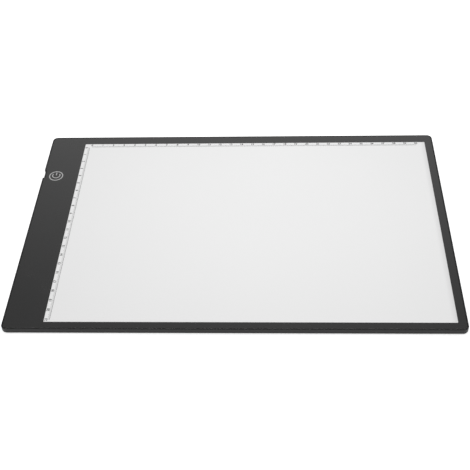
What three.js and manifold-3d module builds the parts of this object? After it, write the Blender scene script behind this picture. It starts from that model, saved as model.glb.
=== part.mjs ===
// LED tracing pad, in millimetres: +X to the right, +Y to the back, +Z up.
// The origin is the middle of the pad, at the level of the table under its feet.
// A thin moulded tray holds an edge-lit light guide under a flush panel with a black border.
// The bay under the wide left border holds the driver board and its micro-USB socket.

import * as THREE from 'three';
import { mergeVertices } from 'three/addons/utils/BufferGeometryUtils.js';
import Module from 'manifold-3d';

const wasm = await Module();
wasm.setup();

// Whole pad
const PAD_LENGTH = 354;
const PAD_WIDTH = 235;
const PAD_CORNER_RADIUS = 4.5;

// Black border round the lit window
const LEFT_BORDER = 32;
const RIGHT_BORDER = 7.5;
const BACK_BORDER = 10.2;
const FRONT_BORDER = 7.3;
const WINDOW_CORNER_RADIUS = 0.6;

// Layers, from the table upwards
const FOOT_PROUD = 0.5;
const FLOOR_THICKNESS = 0.9;
const REFLECTOR_THICKNESS = 0.2;
const GUIDE_THICKNESS = 2;
const DIFFUSER_THICKNESS = 0.25;
const PANEL_THICKNESS = 1;
const FILM_THICKNESS = 0.15;

// Tray
const WALL_THICKNESS = 1;
const LIP_RADIUS = 0.45;
const UNDERSIDE_RADIUS = 0.6;
const LEDGE_WIDTH = 2.5;
const PANEL_CLEARANCE = 0.2;
const POCKET_CORNER_RADIUS = 1;
const PARTITION_THICKNESS = 1.2;
const PEG_DIAMETER = 1.8;
const PEG_RISE = 0.3;
const LEAD_SLOT_WIDTH = 3.4;
const LEAD_SLOT_FROM_CORNER = 1.3;

// Notch in the left edge, round the socket
const NOTCH_LENGTH = 10;
const NOTCH_DEPTH = 1.2;
const NOTCH_FROM_BACK = 53.1;
const NOTCH_EDGE_RADIUS = 0.7;
const NOTCH_INNER_RADIUS = 0.45;

// Light guide, its tapes and its LED strip
const GUIDE_UNDER_BORDER = 3.5;
const GUIDE_CLEARANCE = 0.3;
const EDGE_TAPE_THICKNESS = 0.12;
const LED_GAP = 0.3;
const LED_COUNT = 32;
const LED_LENGTH = 4;
const LED_HEIGHT = 1.4;
const LED_DEPTH = 0.7;
const LED_RIM = 0.25;
const LED_LENS_DEPTH = 0.25;
const STRIP_THICKNESS = 0.8;
const STRIP_HEIGHT = 2.2;
const STRIP_END_MARGIN = 3;
const STRIP_TAPE_THICKNESS = 0.15;
const STRIP_TAPE_HEIGHT = 1.8;

// Adhesive strips between ledge and panel
const PANEL_TAPE_THICKNESS = 0.15;
const PANEL_TAPE_MARGIN = 0.3;
const PARTITION_TAPE_MARGIN = 0.1;

// Micro-USB socket
const SOCKET_WIDTH = 7.4;
const SOCKET_LOWER_WIDTH = 5.6;
const SOCKET_HEIGHT = 2.45;
const SOCKET_CHAMFER_HEIGHT = 0.9;
const SOCKET_LENGTH = 5.6;
const SOCKET_CORNER_RADIUS = 0.35;
const SOCKET_WALL = 0.25;
const SOCKET_BACK_WALL = 0.3;
const SOCKET_SETBACK = 0.2;
const SOCKET_SINK = 0.15;
const SOCKET_CLEARANCE = 0.25;
const SOCKET_TOP_CLEARANCE = 0.1;
const SOCKET_TAB_REACH = 1.3;
const SOCKET_TAB_LENGTH = 1.4;
const SOCKET_TAB_THICKNESS = 0.3;
const SOCKET_TAB_FROM_BACK = 0.4;
const TONGUE_WIDTH = 3.5;
const TONGUE_THICKNESS = 0.55;
const TONGUE_SETBACK = 0.9;
const TONGUE_CLEARANCE = 0.1;
const TONGUE_BASE_LENGTH = 1;
const CONTACT_COUNT = 5;
const CONTACT_PITCH = 0.65;
const CONTACT_WIDTH = 0.4;
const CONTACT_THICKNESS = 0.15;
const CONTACT_SETBACK = 0.3;
const CONTACT_TAIL = 1.1;
const CONTACT_CLEARANCE = 0.05;

// Control board, its tape and its parts
const BOARD_THICKNESS = 0.8;
const BOARD_LENGTH = 34;
const BOARD_BEHIND_NOTCH = 9;
const BOARD_CLEARANCE = 0.3;
const BOARD_CORNER_RADIUS = 0.8;
const PEG_FROM_EDGE = 2.2;
const PEG_HOLE_CLEARANCE = 0.2;
const BOARD_TAPE_THICKNESS = 0.25;
const BOARD_TAPE_WIDTH = 13;
const BOARD_TAPE_FROM_END = 9;
const FOAM_DIAMETER = 7;
const FOAM_EDGE_RADIUS = 0.3;
const FOAM_BEHIND_SOCKET = 1.5;
const FOAM_BEFORE_NOTCH = 2.3;
const CHIP_LENGTH = 4.9;
const CHIP_WIDTH = 3.6;
const CHIP_HEIGHT = 0.95;
const CHIP_STAND_OFF = 0.1;
const CHIP_DRAFT = 0.12;
const CHIP_PIN_PITCH = 1.27;
const CHIP_PINS_PER_SIDE = 4;
const TRANSISTOR_LENGTH = 2.9;
const TRANSISTOR_WIDTH = 1.3;
const TRANSISTOR_PIN_PITCH = 0.95;
const PIN_WIDTH = 0.4;
const PIN_THICKNESS = 0.15;
const PIN_REACH = 1;
const PIN_FOOT = 0.5;
const CHIP_CAPACITOR_LENGTH = 3.2;
const CHIP_CAPACITOR_WIDTH = 1.6;
const CHIP_CAPACITOR_HEIGHT = 1;
const CHIP_RESISTOR_LENGTH = 3.2;
const CHIP_RESISTOR_WIDTH = 1.6;
const CHIP_RESISTOR_HEIGHT = 0.55;
const DIODE_LENGTH = 3.6;
const DIODE_WIDTH = 2;
const DIODE_HEIGHT = 1;
const CAP_LENGTH = 0.5;
const CAP_SKIN = 0.05;

// Leads from the board to the LED strip
const LEAD_DIAMETER = 0.8;
const LEAD_CLEARANCE = 0.25;
const LEAD_SOLDERED_LENGTH = 2.5;
const LEAD_SPACING = 1.8;
const LEAD_BEND = 2;

// Rubber feet
const FOOT_DIAMETER = 10;
const FOOT_THICKNESS = 0.8;
const FOOT_EDGE_RADIUS = 0.3;
const FOOT_CLEARANCE = 0.25;
const FOOT_INSET = 16;

// Making: faces on round forms, how far a cut runs past a face, and how deep fused pieces sink
const CORNER_STEPS = 6;
const EDGE_STEPS = 3;
const ROUND_SIDES = 40;
const LEAD_SIDES = 8;
const LEAD_STEPS = 30;
const OVERRUN = 1;
const FUSE_DEPTH = 0.05;
const SHARP_RADIUS = 0.05;

// Heights of the layers
const FLOOR_TOP = FOOT_PROUD + FLOOR_THICKNESS;
const REFLECTOR_TOP = FLOOR_TOP + REFLECTOR_THICKNESS;
const GUIDE_TOP = REFLECTOR_TOP + GUIDE_THICKNESS;
const DIFFUSER_TOP = GUIDE_TOP + DIFFUSER_THICKNESS;
const PANEL_TOP = DIFFUSER_TOP + PANEL_THICKNESS;
const PAD_TOP = PANEL_TOP + FILM_THICKNESS;
const LEDGE_TOP = DIFFUSER_TOP - PANEL_TAPE_THICKNESS;
const SOCKET_BOTTOM = FLOOR_TOP - SOCKET_SINK;
const SOCKET_TOP = SOCKET_BOTTOM + SOCKET_HEIGHT;
const BOARD_BOTTOM = FLOOR_TOP + BOARD_TAPE_THICKNESS;
const BOARD_TOP = BOARD_BOTTOM + BOARD_THICKNESS;

// Places across the pad, from the left
const PAD_LEFT = -PAD_LENGTH / 2;
const PAD_RIGHT = PAD_LENGTH / 2;
const PAD_BACK = PAD_WIDTH / 2;
const PAD_FRONT = -PAD_WIDTH / 2;
const WINDOW_LEFT = PAD_LEFT + LEFT_BORDER;
const WINDOW_RIGHT = PAD_RIGHT - RIGHT_BORDER;
const WINDOW_BACK = PAD_BACK - BACK_BORDER;
const WINDOW_FRONT = PAD_FRONT + FRONT_BORDER;
const RIM = WALL_THICKNESS + LEDGE_WIDTH;
const CHAMBER_RIGHT = PAD_RIGHT - RIM;
const CHAMBER_BACK = PAD_BACK - RIM;
const CHAMBER_FRONT = PAD_FRONT + RIM;
const GUIDE_LEFT = WINDOW_LEFT - GUIDE_UNDER_BORDER;
const GUIDE_RIGHT = CHAMBER_RIGHT - GUIDE_CLEARANCE - EDGE_TAPE_THICKNESS;
const GUIDE_BACK = CHAMBER_BACK - GUIDE_CLEARANCE - EDGE_TAPE_THICKNESS;
const GUIDE_FRONT = CHAMBER_FRONT + GUIDE_CLEARANCE + EDGE_TAPE_THICKNESS;
const LED_FACE = GUIDE_LEFT - LED_GAP;
const STRIP_FACE = LED_FACE - LED_DEPTH;
const STRIP_BACK = STRIP_FACE - STRIP_THICKNESS;
const CHAMBER_LEFT = STRIP_BACK - STRIP_TAPE_THICKNESS;
const BAY_RIGHT = CHAMBER_LEFT - PARTITION_THICKNESS;
const BAY_LEFT = PAD_LEFT + RIM;
const NOTCH_Y = PAD_BACK - NOTCH_FROM_BACK;
const NOTCH_FLOOR = PAD_LEFT + NOTCH_DEPTH;
const SOCKET_FRONT = NOTCH_FLOOR + SOCKET_SETBACK;
const SOCKET_BACK = SOCKET_FRONT + SOCKET_LENGTH;
const BOARD_LEFT = BAY_LEFT + NOTCH_DEPTH + BOARD_CLEARANCE;
const BOARD_RIGHT = BAY_RIGHT - BOARD_CLEARANCE;
const BOARD_BACK = NOTCH_Y + BOARD_BEHIND_NOTCH;
const BOARD_FRONT = BOARD_BACK - BOARD_LENGTH;
const LEAD_SLOT_BACK = CHAMBER_BACK - LEAD_SLOT_FROM_CORNER;
const LEAD_SLOT_FRONT = LEAD_SLOT_BACK - LEAD_SLOT_WIDTH;
const STRIP_END_FRONT = CHAMBER_FRONT + STRIP_END_MARGIN;
const STRIP_END_BACK = LEAD_SLOT_FRONT - LEAD_CLEARANCE - LEAD_SOLDERED_LENGTH;

// Places of the small parts on the board, as shares of its width and its length
const BOARD_PLACE_SHARES = {
  touch_controller: [0.3, 0.27],
  dimming_transistor: [0.85, 0.38],
  input_capacitor: [0.72, 0.9],
  touch_capacitor: [0.72, 0.5],
  ballast_resistor_1: [0.58, 0.11],
  ballast_resistor_2: [0.74, 0.11],
  ballast_resistor_3: [0.9, 0.11],
  reverse_diode: [0.4, 0.92],
};

// Outline through corners [x, y, radius] in order, each one rounded
function roundedOutline(corners) {
  const points = [];
  corners.forEach(([x, y, radius], index) => {
    const here = new THREE.Vector2(x, y);
    const before = corners.at(index - 1);
    const after = corners[(index + 1) % corners.length];
    const back = new THREE.Vector2(before[0], before[1]).sub(here).normalize();
    const ahead = new THREE.Vector2(after[0], after[1]).sub(here).normalize();
    const halfAngle = Math.acos(back.dot(ahead)) / 2;
    const toCentre = radius / Math.sin(halfAngle);
    const toTangent = radius / Math.tan(halfAngle);
    const centre = back.clone().add(ahead).normalize().multiplyScalar(toCentre).add(here);
    const first = back.multiplyScalar(toTangent).add(here).sub(centre).angle();
    const last = ahead.multiplyScalar(toTangent).add(here).sub(centre).angle();
    const sweep = Math.atan2(Math.sin(last - first), Math.cos(last - first));
    for (let step = 0; step <= CORNER_STEPS; step += 1) {
      const angle = first + (sweep * step) / CORNER_STEPS;
      const spoke = new THREE.Vector2(Math.cos(angle), Math.sin(angle));
      points.push(spoke.multiplyScalar(radius).add(centre));
    }
  });
  return points;
}

function rectangle(left, right, front, back) {
  return [
    new THREE.Vector2(left, front),
    new THREE.Vector2(right, front),
    new THREE.Vector2(right, back),
    new THREE.Vector2(left, back),
  ];
}

function roundedRectangle(left, right, front, back, radius) {
  return roundedOutline([
    [left, front, radius],
    [right, front, radius],
    [right, back, radius],
    [left, back, radius],
  ]);
}

// Left edge with the notch in it, from back to front, moved inwards by inset
function notchedEdge(edge, inset, outerRadius) {
  const floor = edge + NOTCH_DEPTH;
  const back = NOTCH_Y + NOTCH_LENGTH / 2 + inset;
  const front = NOTCH_Y - NOTCH_LENGTH / 2 - inset;
  const outer = Math.max(outerRadius, SHARP_RADIUS);
  const inner = Math.min(NOTCH_INNER_RADIUS + inset, NOTCH_DEPTH - outer - SHARP_RADIUS);
  return [
    [edge, back, outer],
    [floor, back, inner],
    [floor, front, inner],
    [edge, front, outer],
  ];
}

// Outline of the pad, moved inwards by inset
function padOutline(inset) {
  const radius = PAD_CORNER_RADIUS - inset;
  return roundedOutline([
    [PAD_LEFT + inset, PAD_FRONT + inset, radius],
    [PAD_RIGHT - inset, PAD_FRONT + inset, radius],
    [PAD_RIGHT - inset, PAD_BACK - inset, radius],
    [PAD_LEFT + inset, PAD_BACK - inset, radius],
    ...notchedEdge(PAD_LEFT + inset, inset, NOTCH_EDGE_RADIUS - inset),
  ]);
}

// Straight solid on a flat outline, with its two end faces at exactly low and high
function prism(outline, low, high, holes = []) {
  const shape = new THREE.Shape(outline);
  shape.holes = holes.map((hole) => new THREE.Path(hole));
  const geometry = new THREE.ExtrudeGeometry(shape, { depth: high - low, bevelEnabled: false });
  const { position } = geometry.attributes;
  const middle = (high - low) / 2;
  for (let index = 0; index < position.count; index += 1) {
    position.setZ(index, position.getZ(index) < middle ? low : high);
  }
  return geometry;
}

// Moves each point (u, v, w) of a geometry to the place that the function gives
function remap(geometry, place) {
  const { position } = geometry.attributes;
  for (let index = 0; index < position.count; index += 1) {
    const point = place(position.getX(index), position.getY(index), position.getZ(index));
    position.setXYZ(index, ...point);
  }
  return geometry;
}

// Profile in Y and Z, drawn out along X
function prismAlongX(profile, left, right) {
  return remap(prism(profile, left, right), (u, v, w) => [w, u, v]);
}

// Profile in X and Z, drawn out along Y
function prismAlongY(profile, front, back) {
  return remap(prism(profile, -back, -front), (u, v, w) => [u, -w, v]);
}

// Solid through a stack of outlines with equal numbers of points, closed at both ends
function loft(rings) {
  const count = rings[0].outline.length;
  const positions = rings.flatMap(({ outline, z }) => outline.flatMap(({ x, y }) => [x, y, z]));
  const faces = [];
  for (let ring = 0; ring + 1 < rings.length; ring += 1) {
    for (let index = 0; index < count; index += 1) {
      const next = (index + 1) % count;
      const [a, b] = [ring * count + index, ring * count + next];
      const [c, d] = [b + count, a + count];
      faces.push(a, b, c, a, c, d);
    }
  }
  const top = (rings.length - 1) * count;
  for (const [a, b, c] of THREE.ShapeUtils.triangulateShape(rings[0].outline, [])) {
    faces.push(c, b, a);
  }
  for (const [a, b, c] of THREE.ShapeUtils.triangulateShape(rings.at(-1).outline, [])) {
    faces.push(top + a, top + b, top + c);
  }
  const geometry = new THREE.BufferGeometry();
  geometry.setAttribute('position', new THREE.Float32BufferAttribute(positions, 3));
  geometry.setIndex(faces);
  return geometry;
}

// Closed geometry as a solid that can be joined and cut
function solid(geometry) {
  const bare = geometry.clone();
  bare.deleteAttribute('normal');
  bare.deleteAttribute('uv');
  const merged = mergeVertices(bare);
  return new wasm.Manifold(new wasm.Mesh({
    numProp: 3,
    vertProperties: Float32Array.from(merged.attributes.position.array),
    triVerts: Uint32Array.from(merged.index.array),
  }));
}

function geometryOf(body) {
  const { vertProperties, triVerts } = body.getMesh();
  const geometry = new THREE.BufferGeometry();
  geometry.setAttribute('position', new THREE.BufferAttribute(vertProperties, 3));
  geometry.setIndex(new THREE.BufferAttribute(triVerts, 1));
  geometry.computeVertexNormals();
  return geometry;
}

const joined = (first, ...others) => others.reduce((sum, next) => sum.add(solid(next)), solid(first));
const cutFrom = (body, ...cuts) => cuts.reduce((rest, cut) => rest.subtract(solid(cut)), body);

const finish = (color, roughness, metalness) => ({ color, roughness, metalness });
const BLACK_PLASTIC = finish(0x17181a, 0.5, 0);
const BLACK_FILM = finish(0x0e0f10, 0.22, 0);
const OPAL_ACRYLIC = finish(0xeef0f0, 0.3, 0);
const CLEAR_ACRYLIC = finish(0xe6f0ee, 0.1, 0);
const WHITE_FILM = finish(0xf4f4f2, 0.7, 0);
const CLEAR_TAPE = finish(0xd9d6c8, 0.6, 0);
const BLACK_FOAM = finish(0x202022, 0.9, 0);
const GREEN_BOARD = finish(0x1d5a36, 0.45, 0);
const WHITE_BOARD = finish(0xe9e9e4, 0.5, 0);
const TINNED_STEEL = finish(0xb9bcc0, 0.3, 1);
const GOLD_PLATE = finish(0xd6b25e, 0.3, 1);
const CHIP_EPOXY = finish(0x1b1b1d, 0.6, 0);
const CERAMIC_TAN = finish(0xb08a5c, 0.6, 0);
const RED_WIRE = finish(0xb3261e, 0.5, 0);
const BLACK_WIRE = finish(0x1a1a1a, 0.5, 0);
const BLACK_RUBBER = finish(0x222222, 0.85, 0);

const pad = new THREE.Group();

// Adds one named piece to the pad
function addPiece(name, shape, look) {
  const geometry = shape.isBufferGeometry ? shape : geometryOf(shape);
  const piece = new THREE.Mesh(geometry, new THREE.MeshStandardMaterial(look));
  piece.name = name;
  pad.add(piece);
}

// Outer shape of the tray: rounded underside edge, upright side and small rounded lip
function trayBody() {
  const rings = [];
  for (let step = 0; step <= EDGE_STEPS; step += 1) {
    const angle = (Math.PI / 2) * (step / EDGE_STEPS);
    const inset = UNDERSIDE_RADIUS * (1 - Math.sin(angle));
    const rise = UNDERSIDE_RADIUS * (1 - Math.cos(angle));
    rings.push({ outline: padOutline(inset), z: FOOT_PROUD + rise });
  }
  for (let step = 0; step <= EDGE_STEPS; step += 1) {
    const angle = (Math.PI / 2) * (step / EDGE_STEPS);
    const inset = LIP_RADIUS * (1 - Math.cos(angle));
    const drop = LIP_RADIUS * (1 - Math.sin(angle));
    rings.push({ outline: padOutline(inset), z: PAD_TOP - drop });
  }
  return loft(rings);
}

// Pocket for the light guide and pocket for the electronics, with the partition left between them
function trayPockets() {
  const chamber = roundedRectangle(
    CHAMBER_LEFT, CHAMBER_RIGHT, CHAMBER_FRONT, CHAMBER_BACK, POCKET_CORNER_RADIUS,
  );
  const bay = roundedOutline([
    [BAY_LEFT, CHAMBER_FRONT, POCKET_CORNER_RADIUS],
    [BAY_RIGHT, CHAMBER_FRONT, POCKET_CORNER_RADIUS],
    [BAY_RIGHT, CHAMBER_BACK, POCKET_CORNER_RADIUS],
    [BAY_LEFT, CHAMBER_BACK, POCKET_CORNER_RADIUS],
    ...notchedEdge(BAY_LEFT, RIM, SHARP_RADIUS),
  ]);
  return [chamber, bay].map((outline) => prism(outline, FLOOR_TOP, PAD_TOP + OVERRUN));
}

// Window for the socket through the notch's wall and ledge, sunk a little into the floor
function socketWindow() {
  const half = SOCKET_WIDTH / 2 + SOCKET_CLEARANCE;
  const front = NOTCH_Y - half;
  const back = NOTCH_Y + half;
  return prism(
    rectangle(PAD_LEFT - OVERRUN, SOCKET_BACK + SOCKET_CLEARANCE, front, back),
    SOCKET_BOTTOM,
    SOCKET_TOP + SOCKET_TOP_CLEARANCE,
  );
}

const roundPin = (x, y, diameter, low, high) => {
  const pin = new THREE.CylinderGeometry(diameter / 2, diameter / 2, high - low, ROUND_SIDES);
  return pin.rotateX(Math.PI / 2).translate(x, y, (low + high) / 2);
};

const FOOT_PLACES = {
  foot_front_left: [PAD_LEFT + FOOT_INSET, PAD_FRONT + FOOT_INSET],
  foot_front_right: [PAD_RIGHT - FOOT_INSET, PAD_FRONT + FOOT_INSET],
  foot_back_left: [PAD_LEFT + FOOT_INSET, PAD_BACK - FOOT_INSET],
  foot_back_right: [PAD_RIGHT - FOOT_INSET, PAD_BACK - FOOT_INSET],
};

const PEG_PLACES = [
  [BOARD_LEFT + PEG_FROM_EDGE, BOARD_FRONT + PEG_FROM_EDGE],
  [BOARD_RIGHT - PEG_FROM_EDGE, BOARD_BACK - PEG_FROM_EDGE],
];

// Moulded tray: stepped ledge for the panel, two pockets, socket window, foot recesses, board pegs
function addTray() {
  const panelRecess = prism(padOutline(WALL_THICKNESS), LEDGE_TOP, PAD_TOP + OVERRUN);
  const leadSlot = prism(
    rectangle(BAY_RIGHT - OVERRUN, CHAMBER_LEFT + OVERRUN, LEAD_SLOT_FRONT, LEAD_SLOT_BACK),
    FLOOR_TOP,
    PAD_TOP,
  );
  const recessDiameter = FOOT_DIAMETER + 2 * FOOT_CLEARANCE;
  const footRecesses = Object.values(FOOT_PLACES).map(
    ([x, y]) => roundPin(x, y, recessDiameter, -OVERRUN, FOOT_THICKNESS),
  );
  const pegs = PEG_PLACES.map(
    ([x, y]) => roundPin(x, y, PEG_DIAMETER, FLOOR_TOP - FUSE_DEPTH, BOARD_TOP + PEG_RISE),
  );
  const hollow = cutFrom(
    solid(trayBody()), panelRecess, ...trayPockets(), leadSlot, socketWindow(), ...footRecesses,
  );
  addPiece('back_shell', pegs.reduce((sum, peg) => sum.add(solid(peg)), hollow), BLACK_PLASTIC);
}

function addFeet() {
  const radius = FOOT_DIAMETER / 2;
  const profile = [new THREE.Vector2(0, 0)];
  for (let step = 0; step <= EDGE_STEPS; step += 1) {
    const angle = (Math.PI / 2) * (step / EDGE_STEPS);
    const across = radius - FOOT_EDGE_RADIUS * (1 - Math.sin(angle));
    profile.push(new THREE.Vector2(across, FOOT_EDGE_RADIUS * (1 - Math.cos(angle))));
  }
  profile.push(new THREE.Vector2(radius, FOOT_THICKNESS));
  profile.push(new THREE.Vector2(0, FOOT_THICKNESS));
  for (const [name, [x, y]] of Object.entries(FOOT_PLACES)) {
    const foot = new THREE.LatheGeometry(profile, ROUND_SIDES);
    addPiece(name, remap(foot, (u, v, w) => [x + u, y - w, v]), BLACK_RUBBER);
  }
}

// Panel let into the tray, and the black film on it with the window cut out
function addPanel() {
  const outline = padOutline(WALL_THICKNESS + PANEL_CLEARANCE);
  const window = roundedRectangle(
    WINDOW_LEFT, WINDOW_RIGHT, WINDOW_FRONT, WINDOW_BACK, WINDOW_CORNER_RADIUS,
  );
  addPiece('front_panel', prism(outline, DIFFUSER_TOP, PANEL_TOP), OPAL_ACRYLIC);
  addPiece('border_film', prism(outline, PANEL_TOP, PAD_TOP, [window]), BLACK_FILM);
}

// Reflector, light guide and diffuser, laid on each other, with reflective tape on three edges
function addLightStack() {
  const outline = rectangle(GUIDE_LEFT, GUIDE_RIGHT, GUIDE_FRONT, GUIDE_BACK);
  addPiece('reflector_sheet', prism(outline, FLOOR_TOP, REFLECTOR_TOP), WHITE_FILM);
  addPiece('light_guide_plate', prism(outline, REFLECTOR_TOP, GUIDE_TOP), CLEAR_ACRYLIC);
  addPiece('diffuser_sheet', prism(outline, GUIDE_TOP, DIFFUSER_TOP), WHITE_FILM);
  const tapes = {
    edge_tape_right: rectangle(
      GUIDE_RIGHT, GUIDE_RIGHT + EDGE_TAPE_THICKNESS, GUIDE_FRONT, GUIDE_BACK,
    ),
    edge_tape_back: rectangle(
      GUIDE_LEFT, GUIDE_RIGHT, GUIDE_BACK, GUIDE_BACK + EDGE_TAPE_THICKNESS,
    ),
    edge_tape_front: rectangle(
      GUIDE_LEFT, GUIDE_RIGHT, GUIDE_FRONT - EDGE_TAPE_THICKNESS, GUIDE_FRONT,
    ),
  };
  for (const [name, tape] of Object.entries(tapes)) {
    addPiece(name, prism(tape, REFLECTOR_TOP, GUIDE_TOP), WHITE_FILM);
  }
}

// One LED package: a moulded block with a sloping well in the face that looks into the guide
function ledPackage(y) {
  const middle = REFLECTOR_TOP + GUIDE_THICKNESS / 2;
  const block = (margin) => rectangle(
    y - LED_LENGTH / 2 + margin,
    y + LED_LENGTH / 2 - margin,
    middle - LED_HEIGHT / 2 + margin,
    middle + LED_HEIGHT / 2 - margin,
  );
  const body = prismAlongX(block(0), STRIP_FACE - FUSE_DEPTH, LED_FACE);
  const well = loft([
    { outline: block(2 * LED_RIM), z: LED_FACE - LED_LENS_DEPTH },
    { outline: block(LED_RIM), z: LED_FACE + FUSE_DEPTH },
  ]);
  return solid(body).subtract(solid(remap(well, (u, v, w) => [w, u, v])));
}

// LED strip: a narrow board on edge with a row of packages soldered to it, taped to the partition
function addLedStrip() {
  const board = rectangle(STRIP_BACK, STRIP_FACE, STRIP_END_FRONT, STRIP_END_BACK);
  const pitch = (STRIP_END_BACK - STRIP_END_FRONT) / LED_COUNT;
  let strip = solid(prism(board, FLOOR_TOP, FLOOR_TOP + STRIP_HEIGHT));
  for (let index = 0; index < LED_COUNT; index += 1) {
    strip = strip.add(ledPackage(STRIP_END_FRONT + pitch * (index + 0.5)));
  }
  addPiece('led_strip', strip, WHITE_BOARD);
  const tape = rectangle(CHAMBER_LEFT, STRIP_BACK, STRIP_END_FRONT, STRIP_END_BACK);
  addPiece('led_strip_tape', prism(tape, FLOOR_TOP, FLOOR_TOP + STRIP_TAPE_HEIGHT), CLEAR_TAPE);
}

// Adhesive strips on the ledge and on the partition, which bond the panel to the tray
function addPanelTapes() {
  const margin = PANEL_TAPE_MARGIN;
  const outer = WALL_THICKNESS + PANEL_TAPE_MARGIN;
  const left = [PAD_LEFT + outer, BAY_LEFT - margin];
  const right = [CHAMBER_RIGHT + margin, PAD_RIGHT - outer];
  const notchHalf = NOTCH_LENGTH / 2 + RIM;
  const strips = {
    panel_tape_left_front: [...left, CHAMBER_FRONT, NOTCH_Y - notchHalf],
    panel_tape_left_back: [...left, NOTCH_Y + notchHalf, CHAMBER_BACK],
    panel_tape_right: [...right, CHAMBER_FRONT, CHAMBER_BACK],
    panel_tape_front: [BAY_LEFT, CHAMBER_RIGHT, PAD_FRONT + outer, CHAMBER_FRONT - margin],
    panel_tape_back: [BAY_LEFT, CHAMBER_RIGHT, CHAMBER_BACK + margin, PAD_BACK - outer],
    panel_tape_partition: [
      BAY_RIGHT + PARTITION_TAPE_MARGIN,
      CHAMBER_LEFT - PARTITION_TAPE_MARGIN,
      CHAMBER_FRONT,
      LEAD_SLOT_FRONT - PARTITION_TAPE_MARGIN,
    ],
  };
  for (const [name, sides] of Object.entries(strips)) {
    addPiece(name, prism(rectangle(...sides), LEDGE_TOP, DIFFUSER_TOP), CLEAR_TAPE);
  }
}

// Section of the socket across the pad: chamfered below, moved inwards by inset
function socketSection(inset) {
  const half = SOCKET_WIDTH / 2 - inset;
  const lowerHalf = SOCKET_LOWER_WIDTH / 2 - inset / 2;
  const radius = Math.max(SOCKET_CORNER_RADIUS - inset, SHARP_RADIUS);
  const low = SOCKET_BOTTOM + inset;
  const shoulder = SOCKET_BOTTOM + SOCKET_CHAMFER_HEIGHT;
  const high = SOCKET_TOP - inset;
  return roundedOutline([
    [NOTCH_Y - lowerHalf, low, radius],
    [NOTCH_Y + lowerHalf, low, radius],
    [NOTCH_Y + half, shoulder, radius],
    [NOTCH_Y + half, high, radius],
    [NOTCH_Y - half, high, radius],
    [NOTCH_Y - half, shoulder, radius],
  ]);
}

const contactPlaces = Array.from(
  { length: CONTACT_COUNT },
  (_, index) => NOTCH_Y + (index - (CONTACT_COUNT - 1) / 2) * CONTACT_PITCH,
);

// Drawn steel shell, open at the front, with a slot for the contacts and a solder tab on each side
function addSocketShell() {
  const backWall = SOCKET_BACK - SOCKET_BACK_WALL;
  const reach = SOCKET_WIDTH / 2 + SOCKET_TAB_REACH;
  const tabBack = SOCKET_BACK - SOCKET_TAB_FROM_BACK;
  const tab = (near, far) => prism(
    rectangle(tabBack - SOCKET_TAB_LENGTH, tabBack, near, far),
    BOARD_TOP,
    BOARD_TOP + SOCKET_TAB_THICKNESS,
  );
  const side = SOCKET_WIDTH / 2 - FUSE_DEPTH;
  const slot = rectangle(
    NOTCH_Y - TONGUE_WIDTH / 2,
    NOTCH_Y + TONGUE_WIDTH / 2,
    BOARD_TOP - CONTACT_THICKNESS,
    BOARD_TOP + 2 * CONTACT_THICKNESS,
  );
  const shell = joined(
    prismAlongX(socketSection(0), SOCKET_FRONT, SOCKET_BACK),
    tab(NOTCH_Y + side, NOTCH_Y + reach),
    tab(NOTCH_Y - reach, NOTCH_Y - side),
  );
  addPiece('usb_shell', cutFrom(
    shell,
    prismAlongX(socketSection(SOCKET_WALL), SOCKET_FRONT - OVERRUN, backWall),
    prismAlongX(slot, backWall - OVERRUN, SOCKET_BACK + OVERRUN),
  ), TINNED_STEEL);
}

// Plastic tongue with its base, and the five contacts that lie under it and end on the board
function addSocketInside() {
  const baseBack = SOCKET_BACK - SOCKET_BACK_WALL;
  const baseFront = baseBack - TONGUE_BASE_LENGTH;
  const tongueBottom = BOARD_TOP + CONTACT_THICKNESS;
  const tongue = rectangle(
    NOTCH_Y - TONGUE_WIDTH / 2,
    NOTCH_Y + TONGUE_WIDTH / 2,
    tongueBottom,
    tongueBottom + TONGUE_THICKNESS,
  );
  const grooves = contactPlaces.map((y) => prismAlongX(rectangle(
    y - CONTACT_WIDTH / 2 - CONTACT_CLEARANCE,
    y + CONTACT_WIDTH / 2 + CONTACT_CLEARANCE,
    BOARD_TOP - CONTACT_CLEARANCE,
    tongueBottom,
  ), baseFront - OVERRUN, baseBack + OVERRUN));
  const section = socketSection(SOCKET_WALL + TONGUE_CLEARANCE);
  const insulator = joined(
    prismAlongX(section, baseFront, baseBack - TONGUE_CLEARANCE),
    prismAlongX(tongue, SOCKET_FRONT + TONGUE_SETBACK, baseFront + FUSE_DEPTH),
  );
  addPiece('usb_tongue', cutFrom(insulator, ...grooves), BLACK_PLASTIC);
  contactPlaces.forEach((y, index) => {
    const strip = rectangle(y - CONTACT_WIDTH / 2, y + CONTACT_WIDTH / 2, BOARD_TOP, tongueBottom);
    const front = SOCKET_FRONT + TONGUE_SETBACK + CONTACT_SETBACK;
    const contact = prismAlongX(strip, front, SOCKET_BACK + CONTACT_TAIL);
    addPiece(`usb_contact_${index + 1}`, contact, GOLD_PLATE);
  });
}

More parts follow.
